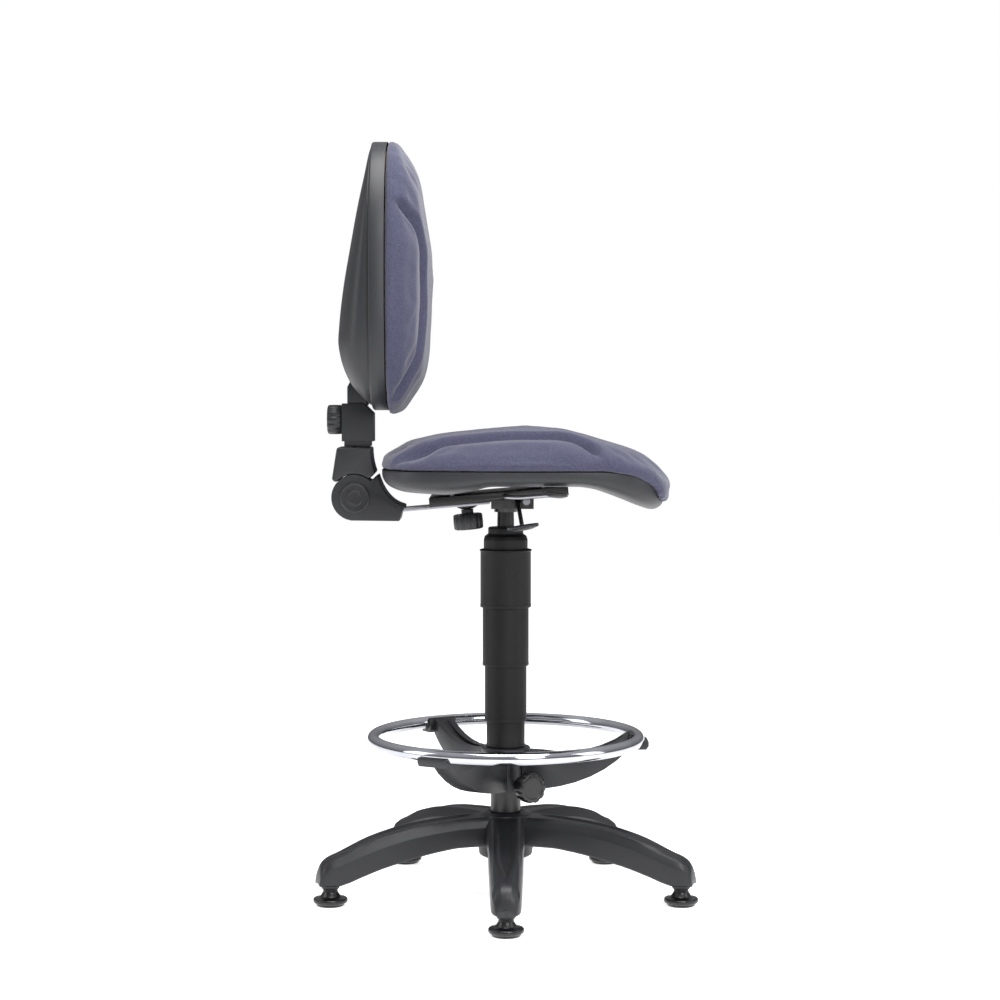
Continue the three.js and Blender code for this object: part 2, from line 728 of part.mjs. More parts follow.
const boardTop = seamHeight - fitGap;
const boardBottom = boardTop - boardThickness;
const boardInset = panWall + 1.5;
add("seat_pan", throughSeat(seatPan()), greyPlastic);

// Moulded plywood that follows the seam line down at the front.
function seatBoard() {
  const top = seamLine(-fitGap).slice(0, 2);
  const bottom = top.map(([u, z]) => [u - 3, z - boardThickness]).reverse();
  const profile = outline([[-seatRear, boardTop], ...top, [235, boardTop - 24],
    [229, boardTop - 35], ...bottom, [-seatRear, boardBottom]]);
  return sideSlab(profile, seatWidth).intersect(seatPlan(boardInset, 600, 800));
}

add("seat_board", throughSeat(seatBoard()), plywood);

// The cushion: its side profile, cut to the seat's plan and to a front profile with round shoulders.
function seatCushion() {
  const top = [[-seatRear, 722], [-187, 740], [-140, 757], [-68, 769], [31, 775], [91, 774],
    [141, 761], [197, 743], [230, 730], [250, 715], [seatFront, 684], [263, 667], [257, 659]];
  const profile = outline([...top, ...seamLine(fitGap).reverse(), [-seatRear, seamHeight + fitGap]]);
  const shoulders = roundedRectangle(seatWidth, 2 * 76, 45, 0, 700);
  const front = slab(shoulders, xAxis, zAxis, 2 * seatDepth, 6);
  return sideSlab(profile, seatWidth).intersect(seatPlan(0, 600, 800)).intersect(front);
}

add("seat_cushion", seatCushion(), fabric);

// ---- Depth bar, its clamp and the corner hinge ----

const [hingeU, hingeZ] = hingeCentre;
const barTopLocal = -barDrop;
const slotRear = depthKnobPlace - knobStudDiameter / 2 - slideGap;
const slotFront = depthKnobPlace + depthRearward + knobStudDiameter / 2 + slideGap;
const slotHalf = knobStudDiameter / 2 + slideGap;
const barHalf = barWidth / 2;
const disc = (diameter, width) => crossPin(diameter, -width / 2, width / 2, hingeCentre, 28);

// A flat bar with a clamp slot, forked at the rear into two lugs around the hinge.
function depthBar() {
  const bar = sloped(block([-barHalf - lugThickness, barRear, barTopLocal - barThickness],
    [barHalf + lugThickness, barFront, barTopLocal]));
  const slot = sloped(block([-slotHalf, slotRear, barTopLocal - 20], [slotHalf, slotFront, 0]));
  const arm = outline([[hingeU, hingeZ - 16], [barRear + 18, hingeZ - 29], [barRear + 32, hingeZ - 27],
    [barRear + 32, hingeZ - 18], [barRear + 3, hingeZ + 3], [hingeU + 8, hingeZ + 16]]);
  const lug = sideSlab(arm, lugThickness)
    .add(crossPin(36, -lugThickness / 2, lugThickness / 2, hingeCentre, 28));
  const out = barHalf + slideGap + lugThickness / 2;
  const forked = join([bar.subtract(slot), lug.translate([out, 0, 0]), lug.translate([-out, 0, 0])]);
  return forked.subtract(disc(hingeBoltDiameter + 2 * fitGap, 4 * coverHalfWidth));
}

add("depth_bar", depthBar(), zincSteel);

const knobBase = depthKnobBottom - plateTop - depthKnobPlace * Math.tan(radians(plateSlope));
const knobHeight = depthKnobTop - depthKnobBottom;
const washerTop = barTopLocal - barThickness - fitGap;
const atKnob = (made) => sloped(made.translate([0, -depthKnobPlace, 0]));
const neckTop = washerTop - 5;
const depthKnob = scallopedKnob(depthKnobDiameter, knobHeight, 14)
  .translate([0, 0, knobBase])
  .add(cylinder(20, knobBase + knobHeight - 1, neckTop - fitGap))
  .add(cylinder(knobStudDiameter, knobBase + 5, -plateThickness + 3, 16));
add("depth_knob", atKnob(depthKnob), blackPlastic);
add("depth_washer", atKnob(turned([
  [knobStudDiameter / 2 + fitGap, neckTop],
  [washerDiameter / 2 - 6, neckTop],
  [washerDiameter / 2, washerTop - 2],
  [washerDiameter / 2, washerTop],
  [knobStudDiameter / 2 + fitGap, washerTop],
])), blackSteel);

// Half of a hollow cover: its side outline from the middle out to one side, open to the other half.
function coverHalf(shape, room, side) {
  const outer = sideSlab(shape, coverHalfWidth - fitGap / 2);
  const middle = (side * (coverHalfWidth + fitGap / 2)) / 2;
  const inner = sideSlab(room, 2 * (coverHalfWidth - coverWall));
  return outer.translate([middle, 0, 0]).subtract(inner);
}

// The lower cover runs from the round hinge end forward under the seat.
function lowerOutline(inset) {
  const radius = coverRadius - inset;
  const shape = new THREE.Shape();
  shape.absarc(hingeU, hingeZ, radius, radians(45), radians(270));
  shape.lineTo(-175 - inset, hingeZ - radius);
  shape.lineTo(-164 - inset, 645 - inset);
  shape.quadraticCurveTo(-196, 655 - inset, -208 - inset, 690 - 1.5 * inset);
  return shape;
}

const uprightSweep = outline([[hingeU + 12, hingeZ], [hingeU + 16, hingeZ + 60],
  [hingeU - 70, hingeZ + 60], [hingeU - 40, hingeZ + 8]]);
const barMouth = sloped(block([-barHalf - 6, barRear - 10, barTopLocal - barThickness - 2],
  [barHalf + 6, barFront, barTopLocal + 2]));
for (const [name, side] of [["lower_cover_right", -1], ["lower_cover_left", 1]]) {
  const shell = coverHalf(lowerOutline(0), lowerOutline(coverWall), side)
    .subtract(sideSlab(uprightSweep, 2 * (barHalf + 2)))
    .subtract(barMouth)
    .subtract(disc(hingeBoltDiameter + 2 * fitGap, 4 * coverHalfWidth));
  add(name, shell, greyPlastic);
}

add("hinge_bolt", disc(hingeBoltDiameter, 2 * coverHalfWidth), zincSteel);
for (const [name, side] of [["hinge_cap_right", -1], ["hinge_cap_left", 1]]) {
  const inside = coverHalfWidth + fitGap;
  const cap = turned([
    [0, 0],
    [hingeCapDiameter / 2, 0],
    [hingeCapDiameter / 2, hingeCapThickness - 1.5],
    [hingeCapDiameter / 2 - 1.5, hingeCapThickness],
    [0, hingeCapThickness],
  ], 24);
  add(name, cap.rotate([0, side * 90, 0]).translate([side * inside, -hingeU, hingeZ]), blackPlastic);
}

// ---- Upright and its cover ----

function uprightBar() {
  const u0 = hingeU - uprightThickness / 2;
  const bar = block([-uprightWidth / 2, u0, hingeZ], [uprightWidth / 2, u0 + uprightThickness, uprightTop]);
  return bar.add(disc(knuckleDiameter, 2 * (barHalf - slideGap)))
    .subtract(disc(hingeBoltDiameter + 2 * slideGap, 4 * coverHalfWidth));
}

add("upright_bar", uprightBar(), blackSteel);

function upperOutline(inset) {
  const shape = new THREE.Shape();
  shape.moveTo(-213 - inset, 703);
  shape.quadraticCurveTo(-220 - inset, 715, -220 - inset, coverTop + 4 * inset);
  shape.lineTo(-277 + inset, coverTop + 4 * inset);
  shape.lineTo(-285 + inset, 688 - inset);
  shape.lineTo(hingeU, 688 - inset);
  shape.lineTo(-219 - inset, 694 - inset);
  return shape;
}

const hingeClearance = disc(2 * (coverRadius + slideGap), 4 * coverHalfWidth);
for (const [name, side] of [["upright_cover_right", -1], ["upright_cover_left", 1]]) {
  const shell = coverHalf(upperOutline(0), upperOutline(coverWall), side);
  add(name, shell.subtract(hingeClearance), greyPlastic);
}

// ---- Backrest: sliding block, knob, shell, board and cushion ----

const barRoom = block(
  [-uprightWidth / 2 - slideGap, hingeU - uprightThickness / 2 - slideGap, blockBottom - 20],
  [uprightWidth / 2 + slideGap, hingeU + uprightThickness / 2 + slideGap, uprightTop + 90]);
const knobBore = cylinder(knobStudDiameter + 2 * fitGap, 0, 40, 16)
  .rotate([-90, 0, 0])
  .translate([0, -hingeU, backKnobHeight]);

const bracketFace = backFace - fitGap - backBoardThickness - fitGap;

function slidingBlock() {
  const shape = outline([[blockRear, blockBottom], [blockFront, blockBottom],
    [blockFront, blockTop - 16], [blockFront - 16, blockTop], [blockRear, blockTop]]);
  const neck = block([-uprightWidth / 2 - 6, blockRear + 4, coverTop + 2],
    [uprightWidth / 2 + 6, blockFront - 5, blockBottom + 1]);
  const tongueHalf = uprightWidth / 2 + 4;
  const tongue = block([-tongueHalf, hingeU - uprightThickness, blockTop - 1],
    [tongueHalf, hingeU + uprightThickness, bracketTop]);
  const web = block([-tongueHalf, hingeU, bracketBottom], [tongueHalf, bracketFace, bracketTop]);
  const flange = block([-bracketHalf, bracketFace - 4, bracketBottom],
    [bracketHalf, bracketFace, bracketTop]);
  return join([sideSlab(shape, blockWidth), neck, tongue, web, flange])
    .subtract(barRoom)
    .subtract(knobBore);
}

add("back_slider", slidingBlock(), blackPlastic);

const backStudLength = hingeU - uprightThickness / 2 - slideGap - fitGap - blockRear;
const backKnob = clampKnob(backKnobDiameter, backKnobDepth, backStudLength)
  .rotate([-90, 0, 0])
  .translate([0, -blockRear + fitGap, backKnobHeight]);
add("back_knob", backKnob, blackPlastic);

const backMiddle = (backBottom + backTop) / 2;
const backHeight = backTop - backBottom;

// The backrest's front outline, drawn in by an inset, from one distance behind the axis to another.
function backPlate(width, height, corner, rear, front) {
  const shape = roundedRectangle(width, height, corner, 0, backMiddle);
  return slab(shape, xAxis, zAxis, front - rear, 5).translate([0, -(front + rear) / 2, 0]);
}

const seamBack = backFace - fitGap;
const bulge = (inset) => outline([[seamBack - 5, backTop - 6 - inset], [-222 + inset, backTop - 8 - inset],
  [-231 + inset, 1184], [-252 + inset, 1068], [-272 + inset, 936], [-275 + inset, 912],
  [-270 + inset, 870], [-262 + inset, 846 + inset], [-241, 821 + inset], [-224, backBottom + 6 + inset],
  [seamBack - 5, backBottom + 6 + inset]]);

// The back shell: a flat rim band and a bulge behind it, hollow, open below for the slider.
function backShell() {
  const corner = 110;
  const band = backPlate(backWidth, backHeight, corner, seamBack - shellRim, seamBack);
  const bandRoom = backPlate(backWidth - 2 * shellWall, backHeight - 2 * shellWall, corner - shellWall,
    seamBack - shellRim + shellWall, seamBack + 1);
  const hump = sideSlab(bulge(0), bulgeWidth)
    .intersect(backPlate(bulgeWidth, backHeight, corner - 20, -300, seamBack - 5));
  const humpRoom = sideSlab(bulge(shellWall), bulgeWidth).intersect(backPlate(
    bulgeWidth - 2 * shellWall, backHeight - 2 * shellWall, corner - 24, -300, seamBack + 1));
  const mouth = block([-blockWidth / 2 - 1, blockRear - 1, blockBottom], [blockWidth / 2 + 1,
    blockFront + 1, blockTop + 36]);
  return band.add(hump).subtract(bandRoom).subtract(humpRoom).subtract(mouth);
}

add("back_shell", backShell(), greyPlastic);

const backInset = shellWall + 1.5;
add("back_board", backPlate(backWidth - 2 * backInset, backHeight - 2 * backInset, 110 - backInset,
  seamBack - backBoardThickness, seamBack), plywood);

// The back cushion: its side profile cut to the front outline and to a plan with round shoulders.
function backCushion() {
  const profile = outline([[backFace, backBottom], [-165, 813], [-148, 833], [-135, 862], [-128, 900],
    [-123, 960], [-122.5, 1040], [-125, 1090], [-133, 1136], [-136, 1175], [-144, 1206],
    [-156, 1226], [-175, backTop - 2], [backFace, backTop]]);
  const plan = planSlab(roundedRectangle(backWidth, 2 * 68, 40, 0, -backFace), 700, 1300, 6);
  return sideSlab(profile, backWidth)
    .intersect(backPlate(backWidth, backHeight, 110, backFace, -100))
    .intersect(plan);
}

add("back_cushion", backCushion(), fabric);

// ---- The whole chair, with its footprint centred on the origin ----

const footprintShift = (glideCircleRadius * (1 - Math.cos(Math.PI / legCount))) / 2;
chair.position.x = footprintShift;

export default chair;
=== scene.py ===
import json
import math
import bmesh
import bpy
from mathutils import Matrix, Vector, noise


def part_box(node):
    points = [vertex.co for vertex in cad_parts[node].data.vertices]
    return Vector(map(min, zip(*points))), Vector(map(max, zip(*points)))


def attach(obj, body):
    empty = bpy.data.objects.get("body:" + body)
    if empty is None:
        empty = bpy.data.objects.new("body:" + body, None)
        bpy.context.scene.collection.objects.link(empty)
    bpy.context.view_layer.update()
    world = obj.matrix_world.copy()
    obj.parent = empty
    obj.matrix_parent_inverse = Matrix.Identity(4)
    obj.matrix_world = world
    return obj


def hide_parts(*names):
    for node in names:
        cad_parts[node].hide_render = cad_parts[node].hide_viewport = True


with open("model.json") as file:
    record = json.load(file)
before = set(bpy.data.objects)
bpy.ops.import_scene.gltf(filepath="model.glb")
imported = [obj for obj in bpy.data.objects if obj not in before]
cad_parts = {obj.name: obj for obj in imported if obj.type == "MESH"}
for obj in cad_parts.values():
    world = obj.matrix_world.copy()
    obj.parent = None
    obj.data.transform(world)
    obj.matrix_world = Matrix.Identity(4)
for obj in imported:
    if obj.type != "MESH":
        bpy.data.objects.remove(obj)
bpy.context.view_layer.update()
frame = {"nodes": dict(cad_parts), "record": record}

mm = 0.001
columnX = sum(corner[0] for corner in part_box("column_tube")) / 2


# Places are in millimetres: sideways from the column, in front of it, and up.
def place(x, front, z):
    return Vector((columnX + x * mm, -front * mm, z * mm))


def newMesh(name, points, faces):
    mesh = bpy.data.meshes.new(name)
    mesh.from_pydata([tuple(point) for point in points], [], faces)
    mesh.update()
    return mesh


def newObject(name, mesh):
    piece = bpy.data.objects.new(name, mesh)
    bpy.context.scene.collection.objects.link(piece)
    return piece


def allRound(steps):
    return [2 * math.pi * k / steps for k in range(steps)]


# The faces between two closed rows of points that start at the given numbers.
def band(first, second, count):
    return [(first + k, first + (k + 1) % count, second + (k + 1) % count, second + k)
            for k in range(count)]


def faceOut(mesh):
    shape = bmesh.new()
    shape.from_mesh(mesh)
    bmesh.ops.remove_doubles(shape, verts=shape.verts, dist=0.01 * mm)
    bmesh.ops.recalc_face_normals(shape, faces=shape.faces)
    shape.to_mesh(mesh)
    shape.free()


# Smooth faces, with an edge kept sharp where it turns by more than the angle in degrees.
def smooth(mesh, angle=38):
    shape = bmesh.new()
    shape.from_mesh(mesh)
    for face in shape.faces:
        face.smooth = True
    for edge in shape.edges:
        turn = edge.calc_face_angle(0) if len(edge.link_faces) == 2 else math.pi
        edge.smooth = turn < math.radians(angle)
    shape.to_mesh(mesh)
    shape.free()


def bakeModifiers(piece):
    graph = bpy.context.evaluated_depsgraph_get()
    mesh = bpy.data.meshes.new_from_object(piece.evaluated_get(graph))
    old = piece.data
    piece.modifiers.clear()
    piece.data = mesh
    bpy.data.meshes.remove(old)
    mesh.name = piece.name
    return piece


def addBevel(piece, width, segments, angle):
    bevel = piece.modifiers.new("softEdges", "BEVEL")
    bevel.width = width * mm
    bevel.segments = segments
    bevel.limit_method = "ANGLE"
    bevel.angle_limit = math.radians(angle)


def bevelled(piece, width, segments=3, angle=38):
    addBevel(piece, width, segments, angle)
    bakeModifiers(piece)
    smooth(piece.data)
    return piece


# Hands a made piece to its body, its material and the CAD nodes that it stands for.
def finished(piece, body, slotName, *nodes, material=None):
    piece.data.materials.clear()
    piece.data.materials.append(material or finishes[slotName])
    for face in piece.data.polygons:
        face.material_index = 0
    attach(piece, body)
    if nodes:
        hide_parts(*nodes)
    return piece


# Rounds the corners of a flat outline. Each corner is its two coordinates and its radius.
def rounded(corners, closed=True, steps=4):
    made = []
    count = len(corners)
    for i, (a, b, radius) in enumerate(corners):
        here = Vector((a, b))
        if radius <= 0 or (not closed and i in (0, count - 1)):
            made.append(here)
            continue
        before = Vector(corners[i - 1][:2]) - here
        after = Vector(corners[(i + 1) % count][:2]) - here
        half = before.angle(after) / 2
        reach = min(radius / math.tan(half), 0.49 * before.length, 0.49 * after.length)
        start, end = here + before.normalized() * reach, here + after.normalized() * reach
        for k in range(steps + 1):
            t = k / steps
            made.append(start * (1 - t) ** 2 + here * 2 * t * (1 - t) + end * t * t)
    return made


# A piece that faces outwards, smoothed where an angle is given.
def solidPiece(name, points, faces, angle=None, matrix=None):
    mesh = newMesh(name, points, faces)
    if matrix:
        mesh.transform(matrix)
    faceOut(mesh)
    if angle:
        smooth(mesh, angle)
    return newObject(name, mesh)


# A turned piece: corners are radius, height and fillet, in millimetres about the given axis.
def turned(name, corners, matrix=None, closed=False, segments=96):
    line = rounded(corners, closed)
    points, faces = [], []
    count = len(line)
    for angle in allRound(segments):
        points += [Vector((math.cos(angle) * r, math.sin(angle) * r, z)) * mm for r, z in line]
    for k in range(segments):
        a, b = k * count, (k + 1) % segments * count
        for i in range(count if closed else count - 1):
            j = (i + 1) % count
            faces.append((a + i, b + i, b + j, a + j))
    return solidPiece(name, points, faces, 30, matrix or Matrix.Translation(place(0, 0, 0)))


# A slab of constant width cut to an outline of front distances and heights.
def sideSlab(name, line, width, middle=0):
    count = len(line)
    points = [place(middle + side * width / 2, u, z) for side in (-1, 1) for u, z in line]
    faces = [(i, (i + 1) % count, count + (i + 1) % count, count + i) for i in range(count)]
    faces += [tuple(range(count)), tuple(range(2 * count - 1, count - 1, -1))]
    return solidPiece(name, points, faces)


# A merged copy of a CAD node with softened edges, which stands for it.
def fromNode(node, body, slotName, width=0.8, angle=38, segments=2, material=None):
    source = bpy.data.objects[node]
    mesh = source.data.copy()
    mesh.transform(source.matrix_world)
    shape = bmesh.new()
    shape.from_mesh(mesh)
    bmesh.ops.remove_doubles(shape, verts=shape.verts, dist=0.02 * mm)
    bmesh.ops.dissolve_limit(
        shape, angle_limit=math.radians(1), verts=shape.verts, edges=shape.edges)
    shape.to_mesh(mesh)
    shape.free()
    piece = newObject(node + "_shaped", mesh)
    if width:
        bevelled(piece, width, segments, angle)
    else:
        smooth(mesh, angle)
    return finished(piece, body, slotName, node, material=material)


# The height of a smooth curve through sampled points, which never overshoots them.
def through(samples, t):
    if t <= samples[0][0]:
        return samples[0][1]
    if t >= samples[-1][0]:
        return samples[-1][1]
    slopes = [(b[1] - a[1]) / (b[0] - a[0]) for a, b in zip(samples, samples[1:])]
    tangents = [slopes[0]]
    for before, after in zip(slopes, slopes[1:]):
        level = before * after <= 0
        tangents.append(0 if level else 2 * before * after / (before + after))
    tangents.append(slopes[-1])
    i = next(n for n in range(len(slopes)) if t <= samples[n + 1][0])
    step = samples[i + 1][0] - samples[i][0]
    k = (t - samples[i][0]) / step
    start = (1 + 2 * k) * (1 - k) ** 2 * samples[i][1] + k * (1 - k) ** 2 * step * tangents[i]
    end = k * k * (3 - 2 * k) * samples[i + 1][1] + k * k * (k - 1) * step * tangents[i + 1]
    return start + end


def eased(edge0, edge1, value):
    t = min(max((value - edge0) / (edge1 - edge0), 0), 1)
    return t * t * (3 - 2 * t)


def linear(colour):
    return tuple((c / 255 / 12.92) if c < 11 else ((c / 255 + 0.055) / 1.055) ** 2.4 for c in colour)


# Shader groups, each built once and placed in every finish that uses its effect.
def addNode(tree, kind, values=None, **settings):
    node = tree.nodes.new(kind)
    for key, value in settings.items():
        setattr(node, key, value)
    for label, value in (values or {}).items():
        node.inputs[label].default_value = value
    return node


def newGroup(name, inputs, outputs):
    tree = bpy.data.node_groups.new(name, "ShaderNodeTree")
    for label, value in inputs.items():
        socket = tree.interface.new_socket(label, in_out="INPUT", socket_type="NodeSocketFloat")
        socket.default_value = value
    for label in outputs:
        tree.interface.new_socket(label, in_out="OUTPUT", socket_type="NodeSocketFloat")
    return tree, tree.nodes.new("NodeGroupInput"), tree.nodes.new("NodeGroupOutput")


def maths(tree, operation, a, b=None):
    node = addNode(tree, "ShaderNodeMath", operation=operation)
    for socket, value in zip(node.inputs, (a, b)):
        if isinstance(value, (int, float)):
            socket.default_value = value
        elif value is not None:
            tree.links.new(value, socket)
    return node.outputs[0]


def times(tree, a, b):
    return maths(tree, "MULTIPLY", a, b)


def plus(tree, a, b):
    return maths(tree, "ADD", a, b)


# Fine pebbled grain of moulded plastic, with slow drifts of tone.
def buildMouldedGrain():
    tree, given, result = newGroup("mouldedGrain", {"Scale": 900, "Drift": 0.12}, ["Height", "Tone"])
    link = tree.links.new
    spot = addNode(tree, "ShaderNodeTexCoord")
    pebble = addNode(tree, "ShaderNodeTexVoronoi", feature="SMOOTH_F1")
    dust = addNode(tree, "ShaderNodeTexNoise", {"Detail": 3})
    slow = addNode(tree, "ShaderNodeTexNoise", {"Scale": 14, "Detail": 3})
    for texture in (pebble, dust, slow):
        link(spot.outputs["Object"], texture.inputs["Vector"])
    link(given.outputs["Scale"], pebble.inputs["Scale"])
    link(times(tree, given.outputs["Scale"], 0.6), dust.inputs["Scale"])
    mixed = times(tree, pebble.outputs["Distance"], 0.6)
    mixed = plus(tree, mixed, times(tree, dust.outputs["Fac"], 0.5))
    link(mixed, result.inputs["Height"])
    off = times(tree, maths(tree, "SUBTRACT", slow.outputs["Fac"], 0.5), 2)
    tone = plus(tree, times(tree, off, given.outputs["Drift"]), 1)
    fine = times(tree, maths(tree, "SUBTRACT", mixed, 0.5), given.outputs["Drift"])
    link(plus(tree, tone, fine), result.inputs["Tone"])
    return tree


# A broken mask along outside edges, where use polishes the surface.
def buildEdgeWear():
    tree, given, result = newGroup("edgeWear", {"Start": 0.53, "Scale": 60}, ["Mask"])
    link = tree.links.new
    shape = addNode(tree, "ShaderNodeNewGeometry")
    spot = addNode(tree, "ShaderNodeTexCoord")
    patches = addNode(tree, "ShaderNodeTexNoise", {"Detail": 5})
    link(spot.outputs["Object"], patches.inputs["Vector"])
    link(given.outputs["Scale"], patches.inputs["Scale"])
    edge = maths(tree, "SUBTRACT", shape.outputs["Pointiness"], given.outputs["Start"])
    edge = times(tree, edge, 14)
    mask = addNode(tree, "ShaderNodeMath", operation="MULTIPLY", use_clamp=True)
    link(edge, mask.inputs[0])
    link(patches.outputs["Fac"], mask.inputs[1])
    link(mask.outputs[0], result.inputs["Mask"])
    return tree


# Crossed threads seen along all three axes, with slubs where the yarn thickens and painted shade in the low
# gaps between threads.
def buildClothWeave():
    tree, given, result = newGroup(
        "clothWeave", {"Thread": 3000, "Fleck": 0.62}, ["Height", "Tone"])
    link = tree.links.new
    spot = addNode(tree, "ShaderNodeTexCoord")
    split = addNode(tree, "ShaderNodeSeparateXYZ")
    shape = addNode(tree, "ShaderNodeNewGeometry")
    facing = addNode(tree, "ShaderNodeSeparateXYZ")
    wander = addNode(tree, "ShaderNodeTexNoise", {"Scale": 260, "Detail": 3})
    link(spot.outputs["Object"], split.inputs[0])
    link(spot.outputs["Object"], wander.inputs["Vector"])
    link(shape.outputs["Normal"], facing.inputs[0])
    bend = times(tree, wander.outputs["Fac"], 2.4)
    waves = []
    for axis in range(3):
        turn = times(tree, split.outputs[axis], given.outputs["Thread"])
        waves.append(maths(tree, "SINE", plus(tree, turn, bend)))
    total = None
    for axis in range(3):
        crossed = times(tree, waves[(axis + 1) % 3], waves[(axis + 2) % 3])
        weight = maths(tree, "POWER", maths(tree, "ABSOLUTE", facing.outputs[axis]), 3)
        share = times(tree, crossed, weight)
        total = share if total is None else plus(tree, total, share)
    height = plus(tree, times(tree, total, 0.5), 0.5)
    link(height, result.inputs["Height"])
    fleck = addNode(tree, "ShaderNodeTexNoise", {"Scale": 420, "Detail": 2})
    link(spot.outputs["Object"], fleck.inputs["Vector"])
    speck = times(tree, maths(tree, "SUBTRACT", fleck.outputs["Fac"], 0.5), 2)
    # Painted shade: the tone is darkened where the weave's height is low, in the gaps between threads; the
    # same strength scales the slubs.
    lift = times(tree, maths(tree, "SUBTRACT", height, 0.5), 0.7)
    tone = times(tree, plus(tree, speck, lift), given.outputs["Fleck"])
    link(plus(tree, tone, 1), result.inputs["Tone"])
    return tree


# Long fine scratches round or along a metal part.
def buildDrawnLines():
    tree, given, result = newGroup("drawnLines", {"Scale": 70, "Stretch": 18}, ["Height", "Tone"])
    link = tree.links.new
    spot = addNode(tree, "ShaderNodeTexCoord")
    scale = addNode(tree, "ShaderNodeVectorMath", operation="MULTIPLY")
    stretch = addNode(tree, "ShaderNodeCombineXYZ")
    lines = addNode(tree, "ShaderNodeTexNoise", {"Detail": 4})
    stretch.inputs[0].default_value = 1
    stretch.inputs[1].default_value = 1
    link(given.outputs["Stretch"], stretch.inputs[2])
    link(spot.outputs["Object"], scale.inputs[0])
    link(stretch.outputs[0], scale.inputs[1])
    link(scale.outputs[0], lines.inputs["Vector"])
    link(given.outputs["Scale"], lines.inputs["Scale"])
    link(lines.outputs["Fac"], result.inputs["Height"])
    centred = maths(tree, "SUBTRACT", lines.outputs["Fac"], 0.5)
    link(plus(tree, times(tree, centred, 0.5), 1), result.inputs["Tone"])
    return tree


groups = {
    "mouldedGrain": buildMouldedGrain(),
    "edgeWear": buildEdgeWear(),
    "clothWeave": buildClothWeave(),
    "drawnLines": buildDrawnLines(),
}


# A finish: a base colour varied by its texture group, a bump from the same group, and edge wear.
def newFinish(name, colour, roughness, texture, bump, spread=0.06, metal=0.0, wear=0.3,
              specular=0.5, inputs=None, sheen=0.0, wearColour=None):
    material = bpy.data.materials.new(name)
    material.use_nodes = True
    tree = material.node_tree
    link = tree.links.new
    shader = tree.nodes["Principled BSDF"]
    fixed = {"Metallic": metal, "Specular IOR Level": specular, "Sheen Weight": sheen,
             "Sheen Roughness": 0.45}
    for label, value in fixed.items():
        shader.inputs[label].default_value = value
    pattern = addNode(tree, "ShaderNodeGroup", node_tree=groups[texture])
    for label, value in (inputs or {}).items():
        pattern.inputs[label].default_value = value
    worn = addNode(tree, "ShaderNodeGroup", node_tree=groups["edgeWear"])
    base = linear(colour)
    rub = addNode(tree, "ShaderNodeMix", data_type="RGBA")
    rub.inputs["A"].default_value = (*base, 1)
    lighter = linear(wearColour) if wearColour else [c * 1.8 + 0.01 for c in base]
    rub.inputs["B"].default_value = (*lighter, 1)
    link(times(tree, worn.outputs["Mask"], wear), rub.inputs["Factor"])
    tinted = addNode(tree, "ShaderNodeVectorMath", operation="SCALE")
    link(rub.outputs["Result"], tinted.inputs[0])
    link(pattern.outputs["Tone"], tinted.inputs["Scale"])
    link(tinted.outputs[0], shader.inputs["Base Color"])
    off = times(tree, maths(tree, "SUBTRACT", pattern.outputs["Tone"], 1), spread * 8)
    rough = plus(tree, off, roughness)
    link(rough, shader.inputs["Roughness"])
    relief = addNode(tree, "ShaderNodeBump", {"Strength": bump[0], "Distance": bump[1] * mm})
    link(pattern.outputs["Height"], relief.inputs["Height"])
    link(relief.outputs["Normal"], shader.inputs["Normal"])
    return material


finishes = {
    "black_plastic": newFinish(
        "satinBlackPlastic", (19, 20, 24), 0.42, "mouldedGrain", (0.25, 0.12),
        inputs={"Scale": 1400, "Drift": 0.1}),
    "gloss_plastic": newFinish(
        "glossBlackPlastic", (14, 14, 16), 0.28, "mouldedGrain", (0.12, 0.08),
        inputs={"Scale": 1100, "Drift": 0.08}),
    "grey_plastic": newFinish(
        "grainedPlastic", (26, 27, 31), 0.48, "mouldedGrain", (0.55, 0.3),
        inputs={"Scale": 620, "Drift": 0.14}),
    "black_steel": newFinish(
        "paintedSteel", (14, 14, 16), 0.34, "mouldedGrain", (0.15, 0.08),
        inputs={"Scale": 500, "Drift": 0.1}, wearColour=(110, 108, 105)),
    "zinc_steel": newFinish(
        "zincSteel", (150, 150, 156), 0.34, "drawnLines", (0.12, 0.05), metal=1.0,
        inputs={"Scale": 90, "Stretch": 3}),
    "chrome": newFinish(
        "polishedChrome", (184, 185, 191), 0.09, "drawnLines", (0.02, 0.02), spread=0.01,
        metal=1.0, wear=0.1, inputs={"Scale": 25, "Stretch": 1}),
    "plywood": newFinish(
        "birchPlywood", (178, 146, 104), 0.6, "drawnLines", (0.2, 0.1), metal=0.0,
        inputs={"Scale": 30, "Stretch": 30}),
    "fabric": newFinish(
        "wovenCloth", (64, 65, 84), 0.9, "clothWeave", (0.6, 0.4), spread=0.02, specular=0.2,
        wear=0.1, sheen=0.25),
}
sleeveFinish = newFinish(
    "sleevePlastic", (9, 9, 11), 0.5, "mouldedGrain", (0.2, 0.1), specular=0.28,
    inputs={"Scale": 1500, "Drift": 0.1})
print("finishes ready:", len(finishes) + 1)


